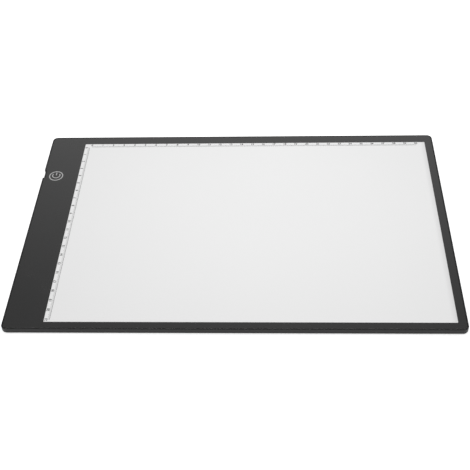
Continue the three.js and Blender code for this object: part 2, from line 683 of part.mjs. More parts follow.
// Control board with a cut-out round the socket and holes for the tray's two pegs
function addBoard() {
  const cutHalf = SOCKET_WIDTH / 2 + SOCKET_CLEARANCE;
  const outline = roundedRectangle(
    BOARD_LEFT, BOARD_RIGHT, BOARD_FRONT, BOARD_BACK, BOARD_CORNER_RADIUS,
  );
  const cutOut = rectangle(
    BOARD_LEFT - OVERRUN, SOCKET_BACK + SOCKET_CLEARANCE, NOTCH_Y - cutHalf, NOTCH_Y + cutHalf,
  );
  const holeDiameter = PEG_DIAMETER + 2 * PEG_HOLE_CLEARANCE;
  const holes = PEG_PLACES.map(
    ([x, y]) => roundPin(x, y, holeDiameter, BOARD_BOTTOM - OVERRUN, BOARD_TOP + OVERRUN),
  );
  addPiece('control_board', cutFrom(
    solid(prism(outline, BOARD_BOTTOM, BOARD_TOP)),
    prism(cutOut, BOARD_BOTTOM - OVERRUN, BOARD_TOP + OVERRUN),
    ...holes,
  ), GREEN_BOARD);
  const middle = (BOARD_LEFT + BOARD_RIGHT) / 2;
  const tape = rectangle(
    middle - BOARD_TAPE_WIDTH / 2,
    middle + BOARD_TAPE_WIDTH / 2,
    BOARD_FRONT + BOARD_TAPE_FROM_END,
    NOTCH_Y - cutHalf - BOARD_CLEARANCE,
  );
  addPiece('board_tape', prism(tape, FLOOR_TOP, BOARD_BOTTOM), BLACK_FOAM);
}

// Soft conductive block under the printed key, between the board and the panel
function addTouchFoam() {
  const radius = FOAM_DIAMETER / 2;
  const height = DIFFUSER_TOP - BOARD_TOP;
  const inner = radius - FOAM_EDGE_RADIUS;
  const profile = [
    [0, 0],
    [inner, 0],
    [radius, FOAM_EDGE_RADIUS],
    [radius, height - FOAM_EDGE_RADIUS],
    [inner, height],
    [0, height],
  ].map(([across, up]) => new THREE.Vector2(across, up));
  const x = SOCKET_BACK + FOAM_BEHIND_SOCKET + radius;
  const y = NOTCH_Y - FOAM_BEFORE_NOTCH;
  const foam = new THREE.LatheGeometry(profile, ROUND_SIDES);
  addPiece('touch_foam', remap(foam, (u, v, w) => [x + u, y - w, BOARD_TOP + v]), BLACK_FOAM);
}

function boardPlace(name) {
  const [across, along] = BOARD_PLACE_SHARES[name];
  const x = BOARD_LEFT + (BOARD_RIGHT - BOARD_LEFT) * across;
  const y = BOARD_FRONT + BOARD_LENGTH * along;
  return [x, y];
}

// Moulded chip body with a little draft on its upper half
function chipBody(x, y, width, length) {
  const waist = BOARD_TOP + CHIP_STAND_OFF + CHIP_HEIGHT / 2;
  const outline = (margin) => rectangle(
    x - width / 2 + margin, x + width / 2 - margin, y - length / 2 + margin, y + length / 2 - margin,
  );
  return loft([
    { outline: outline(CHIP_DRAFT), z: BOARD_TOP + CHIP_STAND_OFF },
    { outline: outline(0), z: waist },
    { outline: outline(CHIP_DRAFT), z: BOARD_TOP + CHIP_STAND_OFF + CHIP_HEIGHT },
  ]);
}

// Gull-wing pin: out of the body at its waist, down, and flat on the board
function pin(bodyEdge, side, y) {
  const waist = BOARD_TOP + CHIP_STAND_OFF + CHIP_HEIGHT / 2;
  const half = PIN_THICKNESS / 2;
  const knee = PIN_REACH - PIN_FOOT;
  const path = [
    [-FUSE_DEPTH - CHIP_DRAFT, waist - half],
    [knee - PIN_THICKNESS, waist - half],
    [knee - PIN_THICKNESS, BOARD_TOP],
    [PIN_REACH, BOARD_TOP],
    [PIN_REACH, BOARD_TOP + PIN_THICKNESS],
    [knee, BOARD_TOP + PIN_THICKNESS],
    [knee, waist + half],
    [-FUSE_DEPTH - CHIP_DRAFT, waist + half],
  ];
  const ordered = side > 0 ? path : path.reverse();
  const profile = ordered.map(([out, up]) => new THREE.Vector2(bodyEdge + side * out, up));
  return prismAlongY(profile, y - PIN_WIDTH / 2, y + PIN_WIDTH / 2);
}

function addChips() {
  const [chipX, chipY] = boardPlace('touch_controller');
  const pins = [];
  for (let index = 0; index < CHIP_PINS_PER_SIDE; index += 1) {
    const y = chipY + (index - (CHIP_PINS_PER_SIDE - 1) / 2) * CHIP_PIN_PITCH;
    pins.push(pin(chipX - CHIP_WIDTH / 2, -1, y), pin(chipX + CHIP_WIDTH / 2, 1, y));
  }
  const chip = joined(chipBody(chipX, chipY, CHIP_WIDTH, CHIP_LENGTH), ...pins);
  addPiece('touch_controller', chip, CHIP_EPOXY);

  const [x, y] = boardPlace('dimming_transistor');
  const legs = [
    pin(x - TRANSISTOR_WIDTH / 2, -1, y - TRANSISTOR_PIN_PITCH),
    pin(x - TRANSISTOR_WIDTH / 2, -1, y + TRANSISTOR_PIN_PITCH),
    pin(x + TRANSISTOR_WIDTH / 2, 1, y),
  ];
  const transistor = joined(chipBody(x, y, TRANSISTOR_WIDTH, TRANSISTOR_LENGTH), ...legs);
  addPiece('dimming_transistor', transistor, CHIP_EPOXY);
}

// Two-ended part: a block with a slightly larger metal cap on each end, lying along Y
function addCappedBlock(name, width, length, height, look) {
  const [x, y] = boardPlace(name);
  const section = (skin) => rectangle(
    x - width / 2 + skin, x + width / 2 - skin, BOARD_TOP + skin, BOARD_TOP + height - skin,
  );
  const front = y - length / 2;
  const back = y + length / 2;
  addPiece(name, joined(
    prismAlongY(section(CAP_SKIN), front + CAP_SKIN, back - CAP_SKIN),
    prismAlongY(section(0), front, front + CAP_LENGTH),
    prismAlongY(section(0), back - CAP_LENGTH, back),
  ), look);
}

function addBoardParts() {
  for (const name of ['input_capacitor', 'touch_capacitor']) {
    addCappedBlock(
      name, CHIP_CAPACITOR_WIDTH, CHIP_CAPACITOR_LENGTH, CHIP_CAPACITOR_HEIGHT, CERAMIC_TAN,
    );
  }
  for (const name of ['ballast_resistor_1', 'ballast_resistor_2', 'ballast_resistor_3']) {
    addCappedBlock(
      name, CHIP_RESISTOR_WIDTH, CHIP_RESISTOR_LENGTH, CHIP_RESISTOR_HEIGHT, CHIP_EPOXY,
    );
  }
  addCappedBlock('reverse_diode', DIODE_WIDTH, DIODE_LENGTH, DIODE_HEIGHT, CHIP_EPOXY);
}

// Thin insulated lead along a smooth route
function lead(points) {
  const section = [];
  for (let side = 0; side < LEAD_SIDES; side += 1) {
    const angle = (2 * Math.PI * side) / LEAD_SIDES;
    const spoke = new THREE.Vector2(Math.cos(angle), Math.sin(angle));
    section.push(spoke.multiplyScalar(LEAD_DIAMETER / 2));
  }
  return new THREE.ExtrudeGeometry(new THREE.Shape(section), {
    steps: LEAD_STEPS,
    extrudePath: new THREE.CatmullRomCurve3(points, false, 'centripetal'),
  });
}

// Both leads start on the board's back end, run along the partition one above the other,
// pass through its slot and end at the LED strip
function addLeads() {
  const radius = LEAD_DIAMETER / 2;
  const onBoard = BOARD_TOP + LEAD_CLEARANCE + radius;
  const heights = {
    black_lead: FLOOR_TOP + LEAD_CLEARANCE + radius,
    red_lead: LEDGE_TOP - LEAD_CLEARANCE - radius,
  };
  const beside = BAY_RIGHT - LEAD_CLEARANCE - radius;
  const slotMiddle = (LEAD_SLOT_FRONT + LEAD_SLOT_BACK) / 2;
  const stripMiddle = (STRIP_BACK + STRIP_FACE) / 2;
  Object.entries(heights).forEach(([name, height], index) => {
    const startX = beside - PEG_FROM_EDGE - LEAD_BEND - index * LEAD_SPACING;
    addPiece(name, lead([
      new THREE.Vector3(startX, BOARD_BACK - LEAD_SOLDERED_LENGTH / 2, onBoard),
      new THREE.Vector3(startX, BOARD_BACK + LEAD_CLEARANCE, onBoard),
      new THREE.Vector3(startX, BOARD_BACK + LEAD_BEND, (onBoard + height) / 2),
      new THREE.Vector3(startX + LEAD_BEND, BOARD_BACK + 2 * LEAD_BEND, height),
      new THREE.Vector3(beside, BOARD_BACK + BOARD_BEHIND_NOTCH - LEAD_BEND, height),
      new THREE.Vector3(beside, BOARD_BACK + BOARD_BEHIND_NOTCH, height),
      new THREE.Vector3(beside, (BOARD_BACK + slotMiddle) / 2, height),
      new THREE.Vector3(beside, slotMiddle - LEAD_DIAMETER, height),
      new THREE.Vector3((BAY_RIGHT + CHAMBER_LEFT) / 2, slotMiddle + LEAD_DIAMETER / 2, height),
      new THREE.Vector3(stripMiddle, slotMiddle - LEAD_DIAMETER, height),
      new THREE.Vector3(stripMiddle, STRIP_END_BACK + LEAD_CLEARANCE, height),
    ]), name === 'red_lead' ? RED_WIRE : BLACK_WIRE);
  });
}

addTray();
addFeet();
addPanel();
addLightStack();
addLedStrip();
addPanelTapes();
addSocketShell();
addSocketInside();
addBoard();
addTouchFoam();
addChips();
addBoardParts();
addLeads();

export default pad;
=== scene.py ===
import math

import bmesh
import bpy
from mathutils import Matrix, Vector


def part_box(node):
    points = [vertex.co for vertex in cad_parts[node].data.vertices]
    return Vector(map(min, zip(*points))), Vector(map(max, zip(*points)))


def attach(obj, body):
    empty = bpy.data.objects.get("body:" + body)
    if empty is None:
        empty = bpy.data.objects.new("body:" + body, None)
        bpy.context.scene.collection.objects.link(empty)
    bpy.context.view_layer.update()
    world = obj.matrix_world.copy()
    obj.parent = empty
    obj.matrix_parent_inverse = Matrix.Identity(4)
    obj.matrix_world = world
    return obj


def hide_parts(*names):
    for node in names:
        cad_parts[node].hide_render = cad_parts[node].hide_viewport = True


# LED tracing pad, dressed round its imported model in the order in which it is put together.
# Sizes are written in millimetres and become metres when a mesh is finished.
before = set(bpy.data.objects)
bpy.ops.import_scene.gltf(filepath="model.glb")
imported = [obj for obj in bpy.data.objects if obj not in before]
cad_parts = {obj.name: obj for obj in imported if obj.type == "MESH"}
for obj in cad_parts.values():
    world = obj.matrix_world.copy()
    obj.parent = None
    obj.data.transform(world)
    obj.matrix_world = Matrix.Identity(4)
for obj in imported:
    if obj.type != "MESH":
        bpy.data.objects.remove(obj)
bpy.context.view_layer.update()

# Tray
# One moulding in black ABS: a thin floor, a side wall with a small round lip, a ledge for the panel, and two
# pockets with a partition between them. The notch in its left wall leaves room for the plug.
MM = 0.001
ROUND_STEPS = 8
CIRCLE_SIDES = 48
SHARP_RADIUS = 0.05
OVERRUN = 1.0
PAD_CORNER_RADIUS = 4.5
WALL_THICKNESS = 1.0
LEDGE_WIDTH = 2.5
LIP_RADIUS = 0.2
LIP_INNER_RADIUS = 0.08
UNDERSIDE_RADIUS = 0.6
POCKET_RADIUS = 1.0
PARTITION_THICKNESS = 1.2
GUIDE_CLEARANCE = 0.3
NOTCH_LENGTH = 10.0
NOTCH_DEPTH = 1.2
NOTCH_EDGE_RADIUS = 0.7
NOTCH_INNER_RADIUS = 0.45
LEAD_SLOT_WIDTH = 3.4
LEAD_SLOT_FROM_CORNER = 1.3
SOCKET_WIDTH = 7.4
SOCKET_SIDE_CLEARANCE = 0.25
SOCKET_TOP_CLEARANCE = 0.1
FOOT_CLEARANCE = 0.25
PEG_DIAMETER = 1.8
PEG_RISE = 0.3
PEG_CHAMFER = 0.15
PEG_FROM_EDGE = 2.2
SHARP_EDGE_ANGLE = math.radians(35)
SCRATCH_TURN = math.radians(23)
SCRATCH_STRETCH = (0.06, 2.4, 1.0)
WORN_EDGE_WIDTH = 0.35
WORN_PATCH_SIZE = 6.0
WORN_TONE_SHARE = 0.5


def box_mm(name):
    """Lowest and highest corner of a node, in millimetres."""
    low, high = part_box(name)
    return low / MM, high / MM


def nodes_named(start):
    return [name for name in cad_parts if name.startswith(start)]


tray_low, tray_high = box_mm("back_shell")
floor_top = box_mm("reflector_sheet")[0].z
ledge_top = box_mm("panel_tape_back")[0].z
socket_low, socket_high = box_mm("usb_shell")
board_low, board_high = box_mm("control_board")
notch_y = (socket_low.y + socket_high.y) / 2
pocket_inset = WALL_THICKNESS + LEDGE_WIDTH
chamber_left = box_mm("led_strip_tape")[0].x
chamber_right = box_mm("edge_tape_right")[1].x + GUIDE_CLEARANCE
chamber_front = tray_low.y + pocket_inset
chamber_back = tray_high.y - pocket_inset
bay_left = tray_low.x + pocket_inset
bay_right = chamber_left - PARTITION_THICKNESS


def rounded_outline(corners):
    """Closed outline, anticlockwise, through corners (across, up, radius)."""
    points = []
    for index, (across, up, radius) in enumerate(corners):
        here = Vector((across, up))
        back = (Vector(corners[index - 1][:2]) - here).normalized()
        ahead = (Vector(corners[(index + 1) % len(corners)][:2]) - here).normalized()
        half_angle = back.angle(ahead) / 2
        centre = here + (back + ahead).normalized() * (radius / math.sin(half_angle))
        first = here + back * (radius / math.tan(half_angle)) - centre
        last = here + ahead * (radius / math.tan(half_angle)) - centre
        start = math.atan2(first.y, first.x)
        sweep = math.remainder(math.atan2(last.y, last.x) - start, math.tau)
        for step in range(ROUND_STEPS + 1):
            angle = start + sweep * step / ROUND_STEPS
            points.append(centre + radius * Vector((math.cos(angle), math.sin(angle))))
    return points


def rectangle_corners(left, right, front, back, radius):
    return [(left, front, radius), (right, front, radius), (right, back, radius), (left, back, radius)]


def rounded_rectangle(left, right, front, back, radius):
    return rounded_outline(rectangle_corners(left, right, front, back, radius))


def notched_outline(left, right, front, back, radius, inset):
    """Rounded rectangle with the notch in its left edge; inset is how far it lies inside the pad."""
    outer = max(NOTCH_EDGE_RADIUS - inset, SHARP_RADIUS)
    inner = min(NOTCH_INNER_RADIUS + inset, NOTCH_DEPTH - outer - SHARP_RADIUS)
    half = NOTCH_LENGTH / 2 + inset
    return rounded_outline([
        *rectangle_corners(left, right, front, back, radius),
        (left, notch_y + half, outer),
        (left + NOTCH_DEPTH, notch_y + half, inner),
        (left + NOTCH_DEPTH, notch_y - half, inner),
        (left, notch_y - half, outer),
    ])


def pad_outline(inset):
    return notched_outline(
        tray_low.x + inset, tray_high.x - inset, tray_low.y + inset, tray_high.y - inset,
        PAD_CORNER_RADIUS - inset, inset,
    )


def circle(centre, radius, sides=CIRCLE_SIDES):
    x, y = centre[:2]
    angles = [math.tau * side / sides for side in range(sides)]
    return [Vector((x + radius * math.cos(angle), y + radius * math.sin(angle))) for angle in angles]


def level(outline, height):
    """Ring of points: a flat outline at one height."""
    return [(x, y, height) for x, y in outline]


def lofted(rings):
    """Closed solid through rings with equal numbers of points."""
    body = bmesh.new()
    loops = [[body.verts.new(point) for point in ring] for ring in rings]
    for lower, upper in zip(loops, loops[1:]):
        for index in range(len(lower)):
            following = (index + 1) % len(lower)
            body.faces.new((lower[index], lower[following], upper[following], upper[index]))
    body.faces.new(list(reversed(loops[0])))
    body.faces.new(loops[-1])
    return body


def prism(outline, low, high):
    return lofted([level(outline, low), level(outline, high)])


def turned(centre, steps):
    """Round solid on an upright axis, through steps of radius and height."""
    return lofted([level(circle(centre, radius), height) for radius, height in steps])


def pad_solid(steps):
    """Solid that follows the pad's outline, through steps of inset and height."""
    return lofted([level(pad_outline(inset), height) for inset, height in steps])


def rounded_edge(radius, steps=ROUND_STEPS):
    """Points of a rounded edge, each by how far it lies in from the upright face and from the flat one."""
    angles = [math.pi / 2 * step / steps for step in range(steps + 1)]
    return [(radius * (1 - math.sin(angle)), radius * (1 - math.cos(angle))) for angle in angles]


def shape(name, body):
    """Object from a mesh built in millimetres."""
    bmesh.ops.recalc_face_normals(body, faces=body.faces)
    body.transform(Matrix.Scale(MM, 4))
    mesh = bpy.data.meshes.new(name)
    body.to_mesh(mesh)
    body.free()
    piece = bpy.data.objects.new(name, mesh)
    bpy.context.scene.collection.objects.link(piece)
    return piece


def final_mesh(piece):
    """Mesh of an object as its modifiers, or its curve, make it."""
    bpy.context.view_layer.update()
    depsgraph = bpy.context.evaluated_depsgraph_get()
    return bpy.data.meshes.new_from_object(piece.evaluated_get(depsgraph))


def apply_modifiers(piece):
    mesh = final_mesh(piece)
    piece.modifiers.clear()
    piece.data = mesh


def joined_or_cut(piece, operation, bodies):
    """Cuts bodies from a piece, or joins them to it, one after the other."""
    tools = [shape("tool", body) for body in bodies]
    for tool in tools:
        modifier = piece.modifiers.new("tool", "BOOLEAN")
        modifier.operation = operation
        modifier.solver = "EXACT"
        modifier.object = tool
    apply_modifiers(piece)
    for tool in tools:
        bpy.data.objects.remove(tool)


def smooth(piece):
    """Smooth shading between true edges, with flat faces kept flat."""
    piece.data.shade_smooth()
    piece.data.set_sharp_from_angle(angle=SHARP_EDGE_ANGLE)
    modifier = piece.modifiers.new("flat faces stay flat", "WEIGHTED_NORMAL")
    modifier.keep_sharp = True
    apply_modifiers(piece)
    return piece


def fit(piece, material, slot_name, *stands_for):
    """Gives a finished piece its material and fixes it to the pad."""
    piece.data.materials.clear()
    piece.data.materials.append(material)
    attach(piece, "root")
    if stands_for:
        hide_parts(*stands_for)


def paint(material, *node_names):
    """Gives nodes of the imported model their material."""
    for name in node_names:
        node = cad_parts[name]
        node.data.materials.clear()
        node.data.materials.append(material)


def add_node(tree, kind, inputs=None, **settings):
    """New node; each input is given a value or linked from another node's output."""
    node = tree.nodes.new("ShaderNode" + kind)
    for setting, value in settings.items():
        setattr(node, setting, value)
    for socket, value in (inputs or {}).items():
        if isinstance(value, bpy.types.NodeSocket):
            tree.links.new(value, node.inputs[socket])
        else:
            node.inputs[socket].default_value = value
    return node


def calculate(tree, operation, *values):
    return add_node(tree, "Math", dict(enumerate(values)), operation=operation).outputs[0]


def varied(tree, value, *changes):
    """An even value, to which each mask adds its own amount."""
    for mask, amount in changes:
        value = calculate(tree, "MULTIPLY_ADD", mask, amount, value)
    return value


def between(tree, value, low, high, smooth_step=True):
    """0 below low, 1 above high."""
    kind = "SMOOTHSTEP" if smooth_step else "LINEAR"
    inputs = {"Value": value, "From Min": low, "From Max": high}
    return add_node(tree, "MapRange", inputs, interpolation_type=kind).outputs["Result"]


def blend_colours(tree, share, first, second):
    """Mix of two colours, each a linked one, three values, or one number for a grey."""
    inputs = {0: share}
    for index, colour in ((6, first), (7, second)):
        if isinstance(colour, float):
            colour = (colour, colour, colour)
        inputs[index] = (*colour, 1) if isinstance(colour, tuple) else colour
    return add_node(tree, "Mix", inputs, data_type="RGBA").outputs[2]


def place_on_object(tree):
    return add_node(tree, "TexCoord").outputs["Object"]


def split_axes(tree, vector):
    return add_node(tree, "SeparateXYZ", {0: vector}).outputs


def noise(tree, place, scale, **values):
    """Cloudy values, centred on 0.5."""
    return add_node(tree, "TexNoise", {"Vector": place, "Scale": scale, **values}).outputs[0]


def new_group(name, inputs, outputs):
    """Shader node group with named number inputs and outputs; gives the group and its two ends."""
    group = bpy.data.node_groups.new(name, "ShaderNodeTree")
    for socket, value in inputs.items():
        made = group.interface.new_socket(name=socket, in_out="INPUT", socket_type="NodeSocketFloat")
        made.default_value = value
    for socket in outputs:
        group.interface.new_socket(name=socket, in_out="OUTPUT", socket_type="NodeSocketFloat")
    start = group.nodes.new("NodeGroupInput")
    end = group.nodes.new("NodeGroupOutput")
    return group, start.outputs, end.inputs


def place_group(tree, group, values):
    node = tree.nodes.new("ShaderNodeGroup")
    node.node_tree = group
    for socket, value in values.items():
        node.inputs[socket].default_value = value
    return node.outputs


def per_metre(size):
    """Texture scale whose features are about size millimetres across."""
    return 1 / (size * MM)


def make_surface_grain():
    """Fine relief of a textured mould or a coated film, with a slow drift in tone."""
    group, given, results = new_group(
        "surface grain", {"Grain Scale": 2500.0, "Drift Scale": 20.0}, ["Relief", "Drift"],
    )
    place = place_on_object(group)
    grain = noise(group, place, given["Grain Scale"], Detail=3.0, Roughness=0.6)
    drift = noise(group, place, given["Drift Scale"], Detail=4.0, Roughness=0.55)
    group.links.new(grain, results["Relief"])
    group.links.new(drift, results["Drift"])
    return group


def make_handling_marks():
    """Soft finger smudges and a few hairline scratches, each from 0 to 1."""
    group, given, results = new_group(
        "handling marks", {"Smudge Scale": 45.0, "Scratch Scale": 60.0}, ["Smudge", "Scratch"],
    )
    place = place_on_object(group)
    smudge = noise(group, place, given["Smudge Scale"], Detail=5.0, Distortion=0.6)
    drawn_out = add_node(group, "Mapping", {
        "Vector": place, "Rotation": (0, 0, SCRATCH_TURN), "Scale": SCRATCH_STRETCH,
    }).outputs[0]
    scratch = noise(group, drawn_out, given["Scratch Scale"], Detail=6.0, Roughness=0.7)
    group.links.new(between(group, smudge, low=0.52, high=0.72), results["Smudge"])
    group.links.new(between(group, scratch, low=0.66, high=0.7), results["Scratch"])
    return group


def make_edge_wear():
    """How far rubbing has polished an edge: 1 on the sharpest parts, broken up along the edge."""
    group, given, results = new_group("edge wear", {"Width": 0.0004, "Patch Scale": 150.0}, ["Wear"])
    rounded = add_node(group, "Bevel", {"Radius": given["Width"]}, samples=4).outputs[0]
    true_normal = add_node(group, "NewGeometry").outputs["Normal"]
    dot = add_node(group, "VectorMath", {0: rounded, 1: true_normal}, operation="DOT_PRODUCT")
    bend = calculate(group, "SUBTRACT", 1.0, dot.outputs["Value"])
    patches = noise(group, place_on_object(group), given["Patch Scale"], Detail=4.0)
    wear = calculate(group, "MULTIPLY", between(group, bend, low=0.02, high=0.25), patches)
    group.links.new(wear, results["Wear"])
    return group


surface_grain = make_surface_grain()
handling_marks = make_handling_marks()
edge_wear = make_edge_wear()


def new_material(name, constants):
    """Material with one Principled shader, whose even values are set straight on its sockets."""
    material = bpy.data.materials.new(name)
    material.use_nodes = True
    shader = material.node_tree.nodes["Principled BSDF"]
    for socket, value in constants.items():
        shader.inputs[socket].default_value = value
    return material, material.node_tree


def grained_base(name, constants, grain_size, drift_size):
    """New material with a grain, from the sizes of its relief and of its slow drift in tone."""
    material, tree = new_material(name, constants)
    grain = place_group(tree, surface_grain, {
        "Grain Scale": per_metre(grain_size), "Drift Scale": per_metre(drift_size),
    })
    return material, tree, grain


def dress(material, colour, roughness, height, depth, **more):
    """Links what changes over a surface: colour, roughness, and a relief of height 0 to 1, depth deep."""
    tree = material.node_tree
    shader = tree.nodes["Principled BSDF"]
    bump = add_node(tree, "Bump", {"Height": height, "Distance": depth * MM, "Strength": 1.0})
    linked = {"Base Color": colour, "Roughness": roughness, "Normal": bump.outputs[0], **more}
    for socket, source in linked.items():
        tree.links.new(source, shader.inputs[socket])
    return material


def satin_black_abs():
    """Black ABS from a finely eroded mould, a little shinier along its lip."""
    material, tree, grain = grained_base(
        "satin black ABS", {"IOR": 1.5, "Specular IOR Level": 0.3}, grain_size=0.35, drift_size=40,
    )
    marks = place_group(tree, handling_marks, {"Smudge Scale": 35.0, "Scratch Scale": 90.0})
    wear = place_group(tree, edge_wear, {
        "Width": WORN_EDGE_WIDTH * MM, "Patch Scale": per_metre(WORN_PATCH_SIZE),
    })["Wear"]
    plain = blend_colours(tree, grain["Drift"], (0.009, 0.009, 0.0093), (0.014, 0.014, 0.0145))
    rubbed_share = calculate(tree, "MULTIPLY", wear, WORN_TONE_SHARE)
    rubbed = blend_colours(tree, rubbed_share, plain, (0.028, 0.028, 0.029))
    satin = varied(tree, 0.4, (grain["Relief"], 0.12), (marks["Smudge"], -0.05), (wear, -0.15))
    return dress(material, rubbed, satin, grain["Relief"], depth=0.012)


def tray_body():
    underside = [(inset, tray_low.z + rise) for inset, rise in rounded_edge(UNDERSIDE_RADIUS)]
    lip = [(inset, tray_high.z - drop) for inset, drop in reversed(rounded_edge(LIP_RADIUS))]
    return pad_solid([*underside, *lip])


def panel_recess():
    """Step for the panel, opening out a little at the top so that the lip is round on both sides."""
    widest = WALL_THICKNESS - LIP_INNER_RADIUS
    opening = [
        (WALL_THICKNESS - outwards, tray_high.z - drop)
        for outwards, drop in reversed(rounded_edge(LIP_INNER_RADIUS))
    ]
    return pad_solid([(WALL_THICKNESS, ledge_top), *opening, (widest, tray_high.z + OVERRUN)])


def tray_cuts():
    above = tray_high.z + OVERRUN
    slot_back = chamber_back - LEAD_SLOT_FROM_CORNER
    socket_half = SOCKET_WIDTH / 2 + SOCKET_SIDE_CLEARANCE
    chamber = rounded_rectangle(chamber_left, chamber_right, chamber_front, chamber_back, POCKET_RADIUS)
    bay = notched_outline(bay_left, bay_right, chamber_front, chamber_back, POCKET_RADIUS, pocket_inset)
    lead_slot = rounded_rectangle(
        bay_right - OVERRUN, chamber_left + OVERRUN, slot_back - LEAD_SLOT_WIDTH, slot_back, SHARP_RADIUS,
    )
    socket_window = rounded_rectangle(
        tray_low.x - OVERRUN, socket_high.x + SOCKET_SIDE_CLEARANCE,
        notch_y - socket_half, notch_y + socket_half, SHARP_RADIUS,
    )
    cuts = [panel_recess()]
    cuts.extend(prism(pocket, floor_top, above) for pocket in (chamber, bay, lead_slot))
    cuts.append(prism(socket_window, socket_low.z, socket_high.z + SOCKET_TOP_CLEARANCE))
    for name in nodes_named("foot_"):
        low, high = box_mm(name)
        radius = (high.x - low.x) / 2 + FOOT_CLEARANCE
        cuts.append(turned((low + high) / 2, [(radius, low.z - OVERRUN), (radius, high.z)]))
    return cuts


def tray_pegs():
    """Two pegs that locate the board, at opposite corners of it."""
    radius = PEG_DIAMETER / 2
    top = board_high.z + PEG_RISE
    steps = [(radius, floor_top - SHARP_RADIUS), (radius, top - PEG_CHAMFER), (radius - PEG_CHAMFER, top)]
    places = (
        (board_low.x + PEG_FROM_EDGE, board_low.y + PEG_FROM_EDGE),
        (board_high.x - PEG_FROM_EDGE, board_high.y - PEG_FROM_EDGE),
    )
    return [turned(place, steps) for place in places]


tray = shape("tray", tray_body())
joined_or_cut(tray, "DIFFERENCE", tray_cuts())
joined_or_cut(tray, "UNION", tray_pegs())
fit(smooth(tray), satin_black_abs(), "tray_plastic", "back_shell")

# Rubber feet
# Four moulded rubber discs, stuck into shallow round recesses in the tray's underside. Each one has a
# shallow ring pressed into its face, for grip.
FOOT_EDGE_RADIUS = 0.3
FOOT_RING_RADIUS = 3.0
FOOT_RING_WIDTH = 0.8
FOOT_RING_DEPTH = 0.08


def grained_material(name, dark, light, rough, grain_size, drift_size, depth, rough_span=0.12, ior=1.5):
    """Material with a fine relief, whose tone drifts slowly between dark and light."""
    material, tree, grain = grained_base(name, {"IOR": ior}, grain_size, drift_size)
    colour = blend_colours(tree, grain["Drift"], dark, light)
    roughness = varied(tree, rough, (grain["Relief"], rough_span))
    return dress(material, colour, roughness, grain["Relief"], depth)


def soft_black_rubber():
    """Matt black rubber with a dry bloom."""
    return grained_material(
        "soft black rubber", dark=0.022, light=(0.055, 0.054, 0.052), rough=0.75, rough_span=0.15,
        grain_size=0.25, drift_size=4, depth=0.02,
    )


def foot_body(low, high):
    radius = (high.x - low.x) / 2
    return turned((low + high) / 2, [
        (FOOT_RING_RADIUS - FOOT_RING_WIDTH, low.z),
        (FOOT_RING_RADIUS - FOOT_RING_WIDTH / 2, low.z + FOOT_RING_DEPTH),
        (FOOT_RING_RADIUS, low.z),
        *((radius - inset, low.z + rise) for inset, rise in rounded_edge(FOOT_EDGE_RADIUS)),
        (radius, high.z),
    ])


rubber = soft_black_rubber()
for name in nodes_named("foot_"):
    foot = shape(name.replace("foot", "rubber_foot"), foot_body(*box_mm(name)))
    fit(smooth(foot), rubber, "foot_rubber", name)

# Reflector, diffuser and edge tapes
# Matt white polyester film: a sheet under the light guide, a milky sheet over it, and narrow tapes round its
# three unlit edges. They are cut to size and laid in.


def matt_white_film(name, warm, rough):
    """White film with a fine dry face; warm is how much blue it lacks."""
    return grained_material(
        name, dark=(0.86, 0.86, 0.86 - warm), light=(0.92, 0.92, 0.92 - warm), rough=rough,
        rough_span=0.1, grain_size=0.15, drift_size=60, depth=0.006, ior=1.45,
    )


paint(matt_white_film("bright reflector film", warm=0.0, rough=0.55), "reflector_sheet")
paint(matt_white_film("milky diffuser film", warm=0.01, rough=0.7), "diffuser_sheet")
paint(matt_white_film("edge tape film", warm=0.02, rough=0.6), *nodes_named("edge_tape_"))

# Light guide
# Clear cast acrylic with polished, lightly bevelled edges, lying loose between its films. White dots are
# printed on its underside, and they grow away from the row of LEDs, so that the light leaves it evenly.
GUIDE_AIR_GAP = 0.02
GUIDE_BEVEL = 0.15
GUIDE_CORNER_RADIUS = 0.5
DOT_PITCH = 1.6
DOT_REACH = 0.1
FIRST_DOT_SHARE = 0.18
LAST_DOT_SHARE = 0.42


def cells(tree, place, size, randomness=1.0, **settings):
    """Cells about size millimetres across: each one's colour, and the distance from its middle."""
    inputs = {"Vector": place, "Scale": per_metre(size), "Randomness": randomness}
    return add_node(tree, "TexVoronoi", inputs, **settings).outputs


def dotted_clear_acrylic():
    """Clear acrylic, frosted and white where a point of its underside lies in a dot."""
    material, tree = new_material("dotted clear acrylic", {"IOR": 1.49, "Transmission Weight": 1.0})
    low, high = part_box("light_guide_plate")
    place = place_on_object(tree)
    axes = split_axes(tree, place)
    from_dot = cells(tree, place, DOT_PITCH, randomness=0.0, voronoi_dimensions="2D")["Distance"]
    away = between(tree, axes["X"], low.x, high.x, smooth_step=False)
    dot_share = varied(tree, FIRST_DOT_SHARE, (away, LAST_DOT_SHARE - FIRST_DOT_SHARE))
    inside = calculate(tree, "LESS_THAN", from_dot, dot_share)
    underside = calculate(tree, "LESS_THAN", axes["Z"], low.z + DOT_REACH * MM)
    dots = calculate(tree, "MULTIPLY", inside, underside)
    colour = blend_colours(tree, dots, (0.94, 0.97, 0.965), 0.97)
    return dress(material, colour, varied(tree, 0.04, (dots, 0.7)), dots, depth=0.01)


def box_solid(low, high, radius, steps):
    """Solid on the outline of a box, seen from above, through steps of inset and height."""
    rings = []
    for inset, height in steps:
        outline = rounded_rectangle(low.x + inset, high.x - inset, low.y + inset, high.y - inset, radius)
        rings.append(level(outline, height))
    return lofted(rings)


def guide_body(low, high):
    bottom = low.z + GUIDE_AIR_GAP
    top = high.z - GUIDE_AIR_GAP
    return box_solid(low, high, GUIDE_CORNER_RADIUS, [
        (GUIDE_BEVEL, bottom), (0, bottom + GUIDE_BEVEL), (0, top - GUIDE_BEVEL), (GUIDE_BEVEL, top),
    ])


guide = shape("polished_light_guide", guide_body(*box_mm("light_guide_plate")))
fit(guide, dotted_clear_acrylic(), "guide_acrylic", "light_guide_plate")

